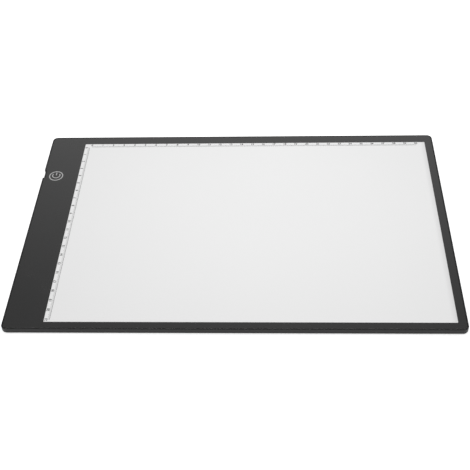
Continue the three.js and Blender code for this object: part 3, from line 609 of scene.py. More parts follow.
# LED strip
# A narrow board with a white mask stands on its long edge at the guide's left side. Moulded packages are
# soldered along it, each a cream cup filled with yellow phosphor, and tape holds its back to the partition.
LED_COUNT = 32
LED_LENGTH = 4.0
LED_HEIGHT = 1.4
LED_DEPTH = 0.7
LED_RIM = 0.25
LED_WELL_DEPTH = 0.25
LED_FILL_DEPTH = 0.1
LED_FILL_HOLLOW = 0.02
LED_FILL_MARGIN = 0.35
LED_HOLLOW_MARGIN = 0.475
SOLDER_LENGTH = 0.45
SOLDER_HEIGHT = 0.9
SOLDER_RISE = 0.3
SOLDER_STEPS = 3
DRAWN_LINE_STRETCH = (0.08, 1.0, 1.0)
PLATING_PATCH_SIZE = 1.2


def bright_metal(name, dark, light, rough, line_size):
    """Plated metal with faint drawing lines and patches of thicker plating."""
    material, tree = new_material(name, {"Metallic": 1.0})
    place = place_on_object(tree)
    drawn = add_node(tree, "Mapping", {"Vector": place, "Scale": DRAWN_LINE_STRETCH}).outputs[0]
    lines = noise(tree, drawn, per_metre(line_size), Detail=4.0)
    patches = noise(tree, place, per_metre(PLATING_PATCH_SIZE), Detail=3.0)
    colour = blend_colours(tree, patches, dark, light)
    return dress(material, colour, varied(tree, rough, (lines, 0.2)), lines, depth=0.004)


def along_x(outline, x):
    """Ring of points: an outline in Y and Z, at one X."""
    return [(x, y, z) for y, z in outline]


def all_in_one(parts):
    """One mesh under construction from several."""
    whole = bmesh.new()
    for part in parts:
        mesh = bpy.data.meshes.new("part")
        part.to_mesh(mesh)
        part.free()
        whole.from_mesh(mesh)
        bpy.data.meshes.remove(mesh)
    return whole


strip_low, strip_high = box_mm("led_strip")
guide_low, guide_high = box_mm("light_guide_plate")
strip_face = strip_high.x - LED_DEPTH
led_middle = (guide_low.z + guide_high.z) / 2
led_pitch = (strip_high.y - strip_low.y) / LED_COUNT
led_places = [strip_low.y + led_pitch * (index + 0.5) for index in range(LED_COUNT)]


def led_solid(y, steps):
    """Solid as wide and high as a package, through steps of margin and depth behind its face."""
    rings = []
    for margin, depth in steps:
        along = LED_LENGTH / 2 - margin
        up = LED_HEIGHT / 2 - margin
        outline = rounded_rectangle(y - along, y + along, led_middle - up, led_middle + up, LED_RIM / 2)
        rings.append(along_x(outline, strip_high.x - depth))
    return lofted(rings)


def led_cup(y):
    return led_solid(y, [(2 * LED_RIM, LED_WELL_DEPTH), (LED_RIM, 0), (0, 0), (0, LED_DEPTH)])


def led_fill(y):
    """Phosphor in the cup, with the slight hollow that it dries to."""
    return led_solid(y, [
        (2 * LED_RIM, LED_WELL_DEPTH),
        (LED_FILL_MARGIN, LED_FILL_DEPTH),
        (LED_HOLLOW_MARGIN, LED_FILL_DEPTH + LED_FILL_HOLLOW),
    ])


def solder_joint(y, side):
    """Fillet of solder from the board up one end of a package."""
    near = y + side * LED_LENGTH / 2
    outline = [(near, 0)]
    for along, rise in rounded_edge(1, SOLDER_STEPS):
        outline.append((near + side * SOLDER_LENGTH * along, SOLDER_RISE * rise))
    return lofted([
        [(strip_face + rise, along, led_middle + half) for along, rise in outline]
        for half in (-SOLDER_HEIGHT / 2, SOLDER_HEIGHT / 2)
    ])


board_outline = rounded_rectangle(strip_low.y, strip_high.y, strip_low.z, strip_high.z, SHARP_RADIUS)
strip_board = shape("led_strip_board", lofted([
    along_x(board_outline, x) for x in (strip_low.x, strip_face)
]))
cups = shape("led_packages", all_in_one(led_cup(y) for y in led_places))
fills = shape("led_phosphor", all_in_one(led_fill(y) for y in led_places))
joints = shape("led_solder", all_in_one(solder_joint(y, side) for y in led_places for side in (-1, 1)))
white_mask = grained_material(
    "white board mask", dark=(0.78, 0.78, 0.76), light=(0.86, 0.86, 0.84), rough=0.35,
    grain_size=0.2, drift_size=4, depth=0.004,
)
cream_moulding = grained_material(
    "cream package moulding", dark=(0.78, 0.75, 0.66), light=(0.85, 0.83, 0.75), rough=0.4,
    grain_size=0.1, drift_size=2, depth=0.003,
)
phosphor = grained_material(
    "yellow phosphor", dark=(0.8, 0.62, 0.08), light=(0.86, 0.72, 0.16), rough=0.3,
    grain_size=0.05, drift_size=1, depth=0.006,
)
solder = bright_metal(
    "tin solder", dark=(0.55, 0.56, 0.58), light=(0.75, 0.76, 0.78), rough=0.22, line_size=0.4,
)
fit(strip_board, white_mask, "white_board", "led_strip")
for piece, material in ((cups, cream_moulding), (fills, phosphor), (joints, solder)):
    fit(smooth(piece), material, "white_board", "led_strip")

# Adhesive tapes
# Thin double-sided tape: one length behind the LED strip, and strips on the ledge and the partition, which
# bond the panel to the tray.


def double_sided_tape():
    """Translucent tape whose adhesive has trapped small pale air patches."""
    material, tree, grain = grained_base("double-sided tape", {"IOR": 1.47}, grain_size=0.5, drift_size=8)
    bubbles = between(tree, grain["Drift"], low=0.55, high=0.68)
    colour = blend_colours(tree, bubbles, (0.72, 0.7, 0.62), (0.84, 0.83, 0.79))
    return dress(material, colour, varied(tree, 0.35, (bubbles, 0.25)), grain["Relief"], depth=0.01)


paint(double_sided_tape(), "led_strip_tape", *nodes_named("panel_tape_"))

# Control board
# Green-masked glass laminate under the left border, held by two pegs and a foam tape. Tinned pads carry the
# capacitors, resistors and diode, and the two leads.
TRACE_PITCH = 0.9
TRACE_SHARE = 0.42
TRACE_ZONE = 6.0
VIA_PITCH = 3.2
VIA_RADIUS = 0.22
FLAT_FACE_NORMAL = 0.7
PAD_THICKNESS = 0.03
PAD_MARGIN = 0.3
PAD_CORNER_ROUNDING = 0.1
CAP_LENGTH = 0.5
LEAD_DIAMETER = 0.8
LEAD_PAD_WIDTH = 1.3
LEAD_PAD_LENGTH = 1.1


def choose(tree, switch, off, on):
    """The value of off where a switch is 0, and of on where it is 1."""
    return add_node(tree, "Mix", {0: switch, 2: off, 3: on}, data_type="FLOAT").outputs[0]


def stripes(tree, distance):
    """1 on evenly pitched traces that run across a distance, 0 between them."""
    phase = calculate(tree, "FRACT", calculate(tree, "DIVIDE", distance, TRACE_PITCH * MM))
    return calculate(tree, "LESS_THAN", phase, TRACE_SHARE)


def green_board_mask():
    """Green mask, lighter over copper traces, plated rings round holes of painted shade, tan laminate bare
    on cut edges.
    """
    material, tree, grain = grained_base("green board mask", {"IOR": 1.5}, grain_size=0.2, drift_size=6)
    place = place_on_object(tree)
    axes = split_axes(tree, place)
    zones = cells(tree, place, TRACE_ZONE, voronoi_dimensions="2D", distance="CHEBYCHEV")["Color"]
    zone = add_node(tree, "SeparateColor", {0: zones}).outputs["Red"]
    lengthways = calculate(tree, "GREATER_THAN", zone, 0.5)
    crossing = choose(tree, lengthways, stripes(tree, axes["X"]), stripes(tree, axes["Y"]))
    from_hole = cells(tree, place, VIA_PITCH, randomness=0.9, voronoi_dimensions="2D")["Distance"]
    ring = calculate(tree, "LESS_THAN", from_hole, 2 * VIA_RADIUS / VIA_PITCH)
    hole_and_painted_shade = calculate(tree, "LESS_THAN", from_hole, VIA_RADIUS / VIA_PITCH)
    copper = calculate(tree, "MAXIMUM", crossing, ring)
    mask = blend_colours(tree, grain["Drift"], (0.02, 0.13, 0.05), (0.035, 0.17, 0.07))
    over_copper = blend_colours(tree, copper, mask, (0.05, 0.24, 0.09))
    # Painted shade: the hole inside each plated ring is coloured near black.
    with_painted_hole_shade = blend_colours(tree, hole_and_painted_shade, over_copper, (0.01, 0.05, 0.02))
    upright = split_axes(tree, add_node(tree, "NewGeometry").outputs["Normal"])["Z"]
    flat = calculate(tree, "GREATER_THAN", calculate(tree, "ABSOLUTE", upright), FLAT_FACE_NORMAL)
    colour = blend_colours(tree, flat, (0.42, 0.36, 0.2), with_painted_hole_shade)
    raised = calculate(tree, "SUBTRACT", copper, hole_and_painted_shade)
    return dress(material, colour, varied(tree, 0.25, (grain["Relief"], 0.1)), raised, depth=0.02)


def solder_pad(left, right, front, back):
    """Flat tinned pad on the board's top face."""
    outline = rounded_rectangle(left, right, front, back, PAD_CORNER_ROUNDING)
    return prism(outline, board_high.z - PAD_THICKNESS, board_high.z + PAD_THICKNESS)


def end_pads(name):
    """Two pads, one under each end of a part that lies along Y."""
    low, high = box_mm(name)
    left = low.x - PAD_MARGIN / 2
    right = high.x + PAD_MARGIN / 2
    spans = ((low.y - PAD_MARGIN, low.y + CAP_LENGTH), (high.y - CAP_LENGTH, high.y + PAD_MARGIN))
    return [solder_pad(left, right, front, back) for front, back in spans]


def lead_pad(name):
    """Pad for a lead's end, at the board's back end."""
    middle = box_mm(name)[0].x + LEAD_DIAMETER / 2
    half = LEAD_PAD_WIDTH / 2
    back = board_high.y - PAD_MARGIN
    return solder_pad(middle - half, middle + half, back - LEAD_PAD_LENGTH, back)


end_capped_parts = [
    "input_capacitor", "touch_capacitor",
    "ballast_resistor_1", "ballast_resistor_2", "ballast_resistor_3", "reverse_diode",
]
board_pads = [pad for name in end_capped_parts for pad in end_pads(name)]
board_pads.extend(lead_pad(name) for name in ("red_lead", "black_lead"))
fit(smooth(shape("board_pads", all_in_one(board_pads))), solder, "socket_steel")
paint(green_board_mask(), "control_board")

# Foam under the board and under the touch key
# A black foam tape beds the board on the tray's floor. A round block of soft conductive foam stands on the
# board and carries the touch field up to the panel, pressed a little so that its side bulges.
FOAM_EDGE_RADIUS = 0.3
FOAM_BULGE = 0.12
FOAM_STEPS = 6
FOAM_CELL_SIZE = 0.35


def black_cell_foam():
    """Open cells: paler walls round pits that painted shade darkens."""
    material, tree = new_material("black cell foam", {"IOR": 1.4})
    from_middle = cells(tree, place_on_object(tree), FOAM_CELL_SIZE)["Distance"]
    wall_relief_and_pit_shade = between(tree, from_middle, low=0.3, high=0.75)
    # Painted shade: the colour darkens towards the middle of each cell, in its pit.
    colour = blend_colours(tree, wall_relief_and_pit_shade, (0.012, 0.012, 0.013), (0.05, 0.05, 0.052))
    return dress(material, colour, varied(tree, 0.95, (wall_relief_and_pit_shade, -0.15)), wall_relief_and_pit_shade, depth=0.08)


def foam_block(low, high):
    """Round block, pinched at both ends and bulging between them."""
    radius = (high.x - low.x) / 2 - FOAM_BULGE
    steps = []
    for step in range(FOAM_STEPS + 1):
        share = step / FOAM_STEPS
        bulge = FOAM_BULGE * math.sin(math.pi * share)
        pinch = FOAM_EDGE_RADIUS if step in (0, FOAM_STEPS) else 0
        steps.append((radius + bulge - pinch, low.z + (high.z - low.z) * share))
    return turned((low + high) / 2, steps)


def foam_tape(low, high):
    """Flat tape whose cut side bulges a little."""
    steps = ((SHARP_RADIUS, low.z), (0, (low.z + high.z) / 2), (SHARP_RADIUS, high.z))
    return box_solid(low, high, FOAM_EDGE_RADIUS, steps)


foam_material = black_cell_foam()
for name, body in (("touch_foam", foam_block), ("board_tape", foam_tape)):
    foam = shape(name + "_soft", body(*box_mm(name)))
    fit(smooth(foam), foam_material, "black_foam", name)

# Chips, capacitors, resistors and diode
# Small surface-mounted parts: black epoxy or fired ceramic bodies with tinned legs or end caps, soldered
# flat on the board.
PIN_REACH = 1.0
TINNED_TONE = (0.66, 0.67, 0.69)


def make_tinned_ends():
    """1 on the metal that stands out of a body, 0 on the body, from the body's middle and half sizes."""
    group, given, results = new_group(
        "tinned ends",
        {"Middle X": 0.0, "Middle Y": 0.0, "Half Width": 0.001, "Half Length": 0.001},
        ["Metal"],
    )
    axes = split_axes(group, place_on_object(group))
    beyond = []
    for axis, middle, half in (("X", "Middle X", "Half Width"), ("Y", "Middle Y", "Half Length")):
        away = calculate(group, "ABSOLUTE", calculate(group, "SUBTRACT", axes[axis], given[middle]))
        beyond.append(calculate(group, "GREATER_THAN", away, given[half]))
    group.links.new(calculate(group, "MAXIMUM", *beyond), results["Metal"])
    return group


tinned_ends = make_tinned_ends()


def part_with_metal(name, dark, light, rough, half_width, half_length):
    """Body material of one part, with bright tin outside the half sizes of its body, in millimetres."""
    low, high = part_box(name)
    middle = (low + high) / 2
    material, tree, grain = grained_base(
        name.replace("_", " ") + " finish", {"IOR": 1.5}, grain_size=0.08, drift_size=0.7,
    )
    metal = place_group(tree, tinned_ends, {
        "Middle X": middle.x, "Middle Y": middle.y,
        "Half Width": half_width * MM, "Half Length": half_length * MM,
    })["Metal"]
    body = blend_colours(tree, grain["Drift"], dark, light)
    colour = blend_colours(tree, metal, body, TINNED_TONE)
    grainy = varied(tree, rough, (grain["Relief"], 0.15), (metal, -0.3))
    return dress(material, colour, grainy, grain["Relief"], depth=0.006, Metallic=metal)


part_tones = {
    "capacitor": ((0.3, 0.2, 0.1), (0.46, 0.34, 0.2)),
    "resistor": ((0.012, 0.012, 0.014), (0.025, 0.025, 0.028)),
    "diode": ((0.02, 0.02, 0.021), (0.035, 0.035, 0.036)),
}
chip_tones = ((0.014, 0.014, 0.015), (0.03, 0.03, 0.032))
for name in ("touch_controller", "dimming_transistor"):
    low, high = box_mm(name)
    half_body = (high.x - low.x) / 2 - PIN_REACH
    finish = part_with_metal(name, *chip_tones, rough=0.55, half_width=half_body, half_length=high.y - low.y)
    paint(finish, name)
for name in end_capped_parts:
    low, high = box_mm(name)
    tones = next(pair for kind, pair in part_tones.items() if kind in name)
    half_body = (high.y - low.y) / 2 - CAP_LENGTH
    finish = part_with_metal(name, *tones, rough=0.5, half_width=high.x - low.x, half_length=half_body)
    paint(finish, name)

# Leads
# Two thin stranded leads, red and black, take the current from the board to the LED strip: off the board's
# back end, along the partition and through its slot. The PVC is stripped back at both ends, and the tinned
# strands are soldered to the board and to the strip's face.
LEAD_CLEARANCE = 0.25
LEAD_SPACING = 1.8
LEAD_BEND = 2.0
LEAD_FROM_PARTITION = 4.2
LEAD_BESIDE_PARTITION = 9.0
LEAD_ROUNDNESS = 5
STRAND_DIAMETER = 0.4
STRIPPED_LENGTH = 0.8
MOUND_RADIUS = 0.42
MOUND_HEIGHT = 0.4
MOUND_STEPS = 4


def soft_pvc(name, dark, light):
    """Extruded PVC with a waxy shine."""
    return grained_material(
        name, dark, light, rough=0.3, grain_size=0.12, drift_size=2.4, depth=0.004, ior=1.52,
    )


def drawn_body(curve):
    """Mesh under construction from a curve or a text."""
    drawn = bpy.data.objects.new("drawn", curve)
    bpy.context.scene.collection.objects.link(drawn)
    mesh = final_mesh(drawn)
    bpy.data.objects.remove(drawn)
    body = bmesh.new()
    body.from_mesh(mesh)
    bpy.data.meshes.remove(mesh)
    return body


def round_wire(route, diameter):
    """Round wire that bends smoothly through the points of a route."""
    curve = bpy.data.curves.new("route", "CURVE")
    curve.dimensions = "3D"
    curve.bevel_depth = diameter / 2
    curve.bevel_resolution = LEAD_ROUNDNESS
    curve.use_fill_caps = True
    spline = curve.splines.new("BEZIER")
    spline.bezier_points.add(len(route) - 1)
    for knot, place in zip(spline.bezier_points, route):
        knot.co = place
        knot.handle_left_type = "AUTO"
        knot.handle_right_type = "AUTO"
    return drawn_body(curve)


def solder_mound(ring_at):
    """Low dome; ring_at gives the ring of a radius at a height over the pad."""
    angles = [math.pi / 2 * step / MOUND_STEPS for step in range(MOUND_STEPS)]
    rings = [ring_at(MOUND_RADIUS * math.cos(angle), MOUND_HEIGHT * math.sin(angle)) for angle in angles]
    return lofted([*rings, ring_at(MOUND_RADIUS / MOUND_STEPS, MOUND_HEIGHT)])


def lead_with_ends(start, run):
    """Cover of a lead and its bare ends, from its place across the board and its height along the run."""
    radius = LEAD_DIAMETER / 2
    on_board = board_high.z + LEAD_CLEARANCE + radius
    beside = bay_right - LEAD_CLEARANCE - radius
    slot_middle = chamber_back - LEAD_SLOT_FROM_CORNER - LEAD_SLOT_WIDTH / 2
    at_strip = (strip_low.x + strip_face) / 2
    board_end = board_high.y
    first = board_end + LEAD_CLEARANCE - STRIPPED_LENGTH / 2
    last = strip_high.y + STRIPPED_LENGTH
    cover = [
        (start, first, on_board),
        (start, board_end + LEAD_BEND / 2, on_board),
        (start + LEAD_BEND / 2, board_end + 2 * LEAD_BEND, run),
        (beside, board_end + LEAD_BESIDE_PARTITION, run),
        (beside, (board_end + slot_middle) / 2, run),
        (beside, slot_middle - LEAD_BEND, run),
        ((bay_right + chamber_left) / 2, slot_middle, run),
        (at_strip, slot_middle - LEAD_BEND, run),
        (at_strip, last, run),
    ]
    half_strand = STRAND_DIAMETER / 2
    pad_top = board_high.z + PAD_THICKNESS
    board_pad = first - STRIPPED_LENGTH
    strip_pad = strip_high.y - MOUND_RADIUS
    board_strands = [
        (start, board_pad, pad_top + half_strand),
        (start, first, on_board),
        (start, first + radius, on_board),
    ]
    strip_strands = [
        (at_strip, last + radius, run),
        (at_strip, last, run),
        (strip_face + half_strand, strip_pad, run),
    ]
    ends = [
        round_wire(board_strands, STRAND_DIAMETER),
        round_wire(strip_strands, STRAND_DIAMETER),
        solder_mound(lambda wide, rise: level(circle((start, board_pad), wide), pad_top + rise)),
        solder_mound(lambda wide, rise: along_x(circle((strip_pad, run), wide), strip_face + rise)),
    ]
    return round_wire(cover, LEAD_DIAMETER), ends


lead_inset = LEAD_CLEARANCE + LEAD_DIAMETER / 2
first_start = bay_right - lead_inset - LEAD_FROM_PARTITION
lead_finishes = (
    ("black_lead", floor_top + lead_inset, soft_pvc("black PVC", 0.015, 0.028)),
    ("red_lead", ledge_top - lead_inset, soft_pvc("red PVC", (0.48, 0.02, 0.015), (0.6, 0.04, 0.03))),
)
bare_ends = []
for index, (name, run, finish) in enumerate(lead_finishes):
    cover, ends = lead_with_ends(first_start - index * LEAD_SPACING, run)
    bare_ends.extend(ends)
    fit(smooth(shape(name + "_cover", cover)), finish, name.replace("lead", "insulation"), name)
fit(smooth(shape("lead_ends", all_in_one(bare_ends))), solder, "socket_steel")

# Micro-USB socket
# Drawn tinned-steel shell, let into the board's front end and soldered by a tab on each side, with a black
# insulator and five gold-plated contacts under its tongue. Its mouth flares a little, and two windows in
# its roof take the plug's latches.
SHELL_WALL = 0.25
SHELL_BACK_WALL = 0.3
SHELL_LOWER_WIDTH = 5.6
SHELL_SHOULDER = 0.9
SHELL_RADIUS = 0.35
FLARE = 0.08
FLARE_LENGTH = 0.5
TAB_LENGTH = 1.4
TAB_FROM_BACK = 0.4
TAB_THICKNESS = 0.3
LATCH_WIDTH = 0.7
LATCH_LENGTH = 1.3
LATCH_FROM_MOUTH = 1.7
LATCH_SPACING = 3.0
CONTACT_SLOT_WIDTH = 3.5
CONTACT_SLOT_BELOW = 0.15
CONTACT_SLOT_ABOVE = 0.3


def shell_section(inset):
    """Section of the socket across the pad, chamfered below, moved inwards by inset."""
    half = SOCKET_WIDTH / 2 - inset
    lower_half = SHELL_LOWER_WIDTH / 2 - inset / 2
    radius = max(SHELL_RADIUS - inset, SHARP_RADIUS)
    low = socket_low.z + inset
    high = socket_high.z - inset
    shoulder = socket_low.z + SHELL_SHOULDER
    return rounded_outline([
        (notch_y - lower_half, low, radius),
        (notch_y + lower_half, low, radius),
        (notch_y + half, shoulder, radius),
        (notch_y + half, high, radius),
        (notch_y - half, high, radius),
        (notch_y - half, shoulder, radius),
    ])


def shell_body():
    """Drawn shell: from the inside of its back wall out to the flared mouth, and back along the outside."""
    front, back = socket_low.x, socket_high.x
    neck = front + FLARE_LENGTH
    return lofted([along_x(shell_section(inset), x) for inset, x in (
        (SHELL_WALL, back - SHELL_BACK_WALL),
        (SHELL_WALL, neck),
        (SHELL_WALL - 2 * FLARE, front + SHARP_RADIUS),
        (SHELL_WALL / 2 - FLARE, front),
        (-FLARE / 2, front + SHARP_RADIUS),
        (0, neck),
        (0, back),
    )])


def sharp_block(left, right, front, back, low, high):
    return prism(rounded_rectangle(left, right, front, back, SHARP_RADIUS), low, high)


def shell_tabs():
    back = socket_high.x - TAB_FROM_BACK
    half = SOCKET_WIDTH / 2 - SHARP_RADIUS
    spans = ((notch_y + half, socket_high.y), (socket_low.y, notch_y - half))
    return [
        sharp_block(back - TAB_LENGTH, back, near, far, board_high.z, board_high.z + TAB_THICKNESS)
        for near, far in spans
    ]


def shell_openings():
    """Two latch windows in the roof, and the slot in the back wall through which the contacts leave."""
    latch_front = socket_low.x + LATCH_FROM_MOUTH
    latches = [
        sharp_block(
            latch_front, latch_front + LATCH_LENGTH, middle - LATCH_WIDTH / 2, middle + LATCH_WIDTH / 2,
            socket_high.z - 2 * SHELL_WALL, socket_high.z + OVERRUN,
        )
        for middle in (notch_y - LATCH_SPACING / 2, notch_y + LATCH_SPACING / 2)
    ]
    contact_slot = sharp_block(
        socket_high.x - OVERRUN, socket_high.x + OVERRUN,
        notch_y - CONTACT_SLOT_WIDTH / 2, notch_y + CONTACT_SLOT_WIDTH / 2,
        board_high.z - CONTACT_SLOT_BELOW, board_high.z + CONTACT_SLOT_ABOVE,
    )
    return [*latches, contact_slot]


shell = shape("socket_shell", shell_body())
joined_or_cut(shell, "UNION", shell_tabs())
joined_or_cut(shell, "DIFFERENCE", shell_openings())
tinned_steel = bright_metal(
    "tinned steel", dark=(0.52, 0.53, 0.55), light=(0.68, 0.69, 0.71), rough=0.2, line_size=0.3,
)
gold_plate = bright_metal(
    "gold plate", dark=(0.7, 0.5, 0.2), light=(0.86, 0.68, 0.34), rough=0.18, line_size=0.15,
)
black_insulator = grained_material(
    "black insulator", dark=0.02, light=0.035, rough=0.45, grain_size=0.1, drift_size=2, depth=0.004,
)
fit(smooth(shell), tinned_steel, "socket_steel", "usb_shell")
paint(black_insulator, "usb_tongue")
paint(gold_plate, *nodes_named("usb_contact_"))

# Opal panel
# Milky acrylic sheet over the whole tray, let in flush with its lip. Painted shade darkens its colour in a
# band beside the window's right border, for less light towards the edge farthest from the LEDs. Its face is
# satin, so that paper slides on it.
WINDOW_RIGHT_BORDER = 7.5
PAINTED_SHADE_WIDTH = 5.0
PAINTED_SHADE_SHARE = 0.12


def satin_opal_acrylic():
    """Milky white, with a band of painted shade beside the window's right border, smudges and fine
    scratches.
    """
    material, tree, grain = grained_base("satin opal acrylic", {"IOR": 1.49}, grain_size=0.3, drift_size=90)
    marks = place_group(tree, handling_marks, {"Smudge Scale": 25.0, "Scratch Scale": 45.0})
    milky = blend_colours(tree, grain["Drift"], 0.773, 0.788)
    across = split_axes(tree, place_on_object(tree))["X"]
    window_right = (tray_high.x - WINDOW_RIGHT_BORDER) * MM
    # Painted shade: the colour darkens over the last few millimetres before the window's right border.
    painted_shade_band = between(tree, across, window_right - PAINTED_SHADE_WIDTH * MM, window_right)
    painted_shade = calculate(tree, "MULTIPLY", painted_shade_band, PAINTED_SHADE_SHARE)
    colour = blend_colours(tree, painted_shade, milky, 0.0)
    satin = varied(tree, 0.3, (grain["Relief"], 0.08), (marks["Smudge"], 0.06), (marks["Scratch"], 0.1))
    return dress(material, colour, satin, grain["Relief"], depth=0.003)


paint(satin_opal_acrylic(), "front_panel")

# Black border film
# Thin black film bonded on the panel, with the window die-cut out of it. Its face is smooth and shines
# softly, and it carries the smudges of hands.


def black_border_film():
    """Even black with a soft shine, smudged and finely scratched."""
    material, tree, grain = grained_base("black border film", {"IOR": 1.64}, grain_size=0.6, drift_size=70)
    marks = place_group(tree, handling_marks, {"Smudge Scale": 40.0, "Scratch Scale": 55.0})
    colour = blend_colours(tree, grain["Drift"], 0.009, 0.013)
    shiny = varied(tree, 0.2, (grain["Relief"], 0.06), (marks["Smudge"], 0.05), (marks["Scratch"], 0.08))
    return dress(material, colour, shiny, grain["Relief"], depth=0.004)


paint(black_border_film(), "border_film")

# Printed rulers
# Centimetre rulers screen-printed in dark ink on the window, along its back and left edges: a base line,
# a tick for each millimetre, longer ones for 5 and 10, and a number for each centimetre.
INK_THICKNESS = 0.016
WINDOW_LEFT_BORDER = 32.0
WINDOW_BACK_BORDER = 10.2
WINDOW_FRONT_BORDER = 7.3
BACK_RULER_BASE = 4.3
LEFT_RULER_BASE = 4.45
BASE_LINE_WIDTH = 0.22
TICK_WIDTH = 0.18
TICK_LENGTHS = {1: 1.5, 5: 1.9, 10: 2.4}
NUMERAL_HEIGHT = 2.2
NUMERAL_WEIGHT = 0.08
NUMERAL_FROM_EDGE = 1.55
NUMERAL_CURVE_STEPS = 3
CAPITAL_SHARE = 0.729
MM_PER_NUMBER = 10
BACK_RULER_NUMBERS = 31
BACK_RULER_FROM_LEFT = 6.39
LEFT_RULER_NUMBERS = 22
LEFT_RULER_FROM_FRONT = 2.34

film_low, film_high = box_mm("border_film")
panel_top = film_low.z
window_left = tray_low.x + WINDOW_LEFT_BORDER
window_back = tray_high.y - WINDOW_BACK_BORDER
window_front = tray_low.y + WINDOW_FRONT_BORDER


def ink(name, dark, light, rough):
    """Screen-printed ink: slightly uneven cover, with a dry face."""
    return grained_material(
        name, dark, light, rough, grain_size=0.12, drift_size=3, depth=0.004, rough_span=0.15,
    )


def ink_strip(low_corner, high_corner):
    """Thin printed rectangle on the panel."""
    left, right = sorted((low_corner.x, high_corner.x))
    front, back = sorted((low_corner.y, high_corner.y))
    outline = [(left, front), (right, front), (right, back), (left, back)]
    return prism(outline, panel_top - INK_THICKNESS / 2, panel_top + INK_THICKNESS / 2)


def numeral(text, middle, reading):
    """Printed number, centred on a point and read along a direction."""
    letters = bpy.data.curves.new("number", "FONT")
    letters.body = text
    letters.size = NUMERAL_HEIGHT / CAPITAL_SHARE
    letters.extrude = INK_THICKNESS / 2
    letters.offset = NUMERAL_WEIGHT
    letters.resolution_u = NUMERAL_CURVE_STEPS
    body = drawn_body(letters)
    across = [vertex.co.x for vertex in body.verts]
    up = [vertex.co.y for vertex in body.verts]
    centred = Matrix.Translation((-(min(across) + max(across)) / 2, -(min(up) + max(up)) / 2, 0))
    turned_to_read = Matrix.Rotation(math.atan2(reading.y, reading.x), 4, "Z")
    body.transform(Matrix.Translation((middle.x, middle.y, panel_top)) @ turned_to_read @ centred)
    return body


def ruler_print(zero, along, inward, reading, base_distance, numbers):
    """Ruler from its zero point on the window's edge; along and inward are its two directions."""
    length = (numbers - 1) * MM_PER_NUMBER
    base = zero + inward * base_distance
    half_line = inward * (BASE_LINE_WIDTH / 2)
    half_tick = along * (TICK_WIDTH / 2)
    parts = [ink_strip(base - half_line, base + along * length + half_line)]
    for count in range(length + 1):
        kind = max(step for step in TICK_LENGTHS if count % step == 0)
        foot = base + along * count
        parts.append(ink_strip(foot - half_tick, foot + half_tick - inward * TICK_LENGTHS[kind]))
    for number in range(numbers):
        middle = zero + along * (number * MM_PER_NUMBER) + inward * NUMERAL_FROM_EDGE
        parts.append(numeral(str(number), middle, reading))
    return all_in_one(parts)


right, back = Vector((1, 0)), Vector((0, 1))
left_length = (LEFT_RULER_NUMBERS - 1) * MM_PER_NUMBER
back_zero = Vector((window_left + BACK_RULER_FROM_LEFT, window_back))
left_zero = Vector((window_left, window_front + LEFT_RULER_FROM_FRONT + left_length))
dark_ink = ink("dark ruler ink", dark=0.03, light=0.06, rough=0.5)
back_ruler = ruler_print(back_zero, right, -back, right, BACK_RULER_BASE, BACK_RULER_NUMBERS)
left_ruler = ruler_print(left_zero, -back, right, back, LEFT_RULER_BASE, LEFT_RULER_NUMBERS)
fit(shape("back_ruler_print", back_ruler), dark_ink, "border_black")
fit(shape("left_ruler_print", left_ruler), dark_ink, "border_black")

# Printed touch key
# Ring and power symbol over the conductive foam block, where a finger dims the light. They are
# screen-printed in light grey on the border film.
KEY_FROM_LEFT = 11.9
KEY_BEFORE_NOTCH = 2.7
RING_DIAMETER = 12.7
RING_LINE = 0.95
SYMBOL_DIAMETER = 7.6
SYMBOL_LINE = 0.9
SYMBOL_RISE = 0.7
SYMBOL_GAP_HALF_ANGLE = math.radians(60)
BAR_TOP = 4.6
BAR_BOTTOM = 0.8
BAR_WIDTH = 0.9
ARC_STEPS = 64
KEY_INK_THICKNESS = 0.01

key_ink_bottom = film_high.z - KEY_INK_THICKNESS / 2
key_ink_top = film_high.z + KEY_INK_THICKNESS / 2


def rounded_end(point, side):
    """Half circle from one side of a line's end to the other."""
    spokes = (Matrix.Rotation(math.pi * step / ROUND_STEPS, 2) @ side for step in range(1, ROUND_STEPS))
    return [point + spoke for spoke in spokes]


def ink_line(points, width):
    """Printed line with round ends along points in the plane."""
    half = width / 2
    ahead = [(after - before).normalized() for before, after in zip(points, points[1:])]
    headings = [ahead[0], *[(a + b).normalized() for a, b in zip(ahead, ahead[1:])], ahead[-1]]
    sides = [Vector((heading.y, -heading.x)) * half for heading in headings]
    return prism([
        *(point + side for point, side in zip(points, sides)),
        *rounded_end(points[-1], sides[-1]),
        *(point - side for point, side in zip(reversed(points), reversed(sides))),
        *rounded_end(points[0], -sides[0]),
    ], key_ink_bottom, key_ink_top)


def printed_ring(centre, diameter, width):
    """Closed printed circle."""
    body = bmesh.new()
    outer = circle(centre, diameter / 2, ARC_STEPS)
    inner = circle(centre, diameter / 2 - width, ARC_STEPS)
    faces = ((outer, key_ink_bottom), (outer, key_ink_top), (inner, key_ink_top), (inner, key_ink_bottom))
    loops = [[body.verts.new(point) for point in level(outline, height)] for outline, height in faces]
    for current, following in zip(loops, loops[1:] + loops[:1]):
        for index in range(ARC_STEPS):
            after = (index + 1) % ARC_STEPS
            body.faces.new((current[index], current[after], following[after], following[index]))
    return body


def power_symbol(centre):
    """Open arc with an upright bar in its gap."""
    radius = (SYMBOL_DIAMETER - SYMBOL_LINE) / 2
    middle = centre + Vector((0, SYMBOL_RISE))
    sweep = math.tau - 2 * SYMBOL_GAP_HALF_ANGLE
    start = math.pi / 2 + SYMBOL_GAP_HALF_ANGLE
    angles = [start + sweep * step / ARC_STEPS for step in range(ARC_STEPS + 1)]
    arc = [middle + radius * Vector((math.cos(angle), math.sin(angle))) for angle in angles]
    half_bar = BAR_WIDTH / 2
    bar = [centre + Vector((0, BAR_BOTTOM + half_bar)), centre + Vector((0, BAR_TOP - half_bar))]
    return [ink_line(arc, SYMBOL_LINE), ink_line(bar, BAR_WIDTH)]


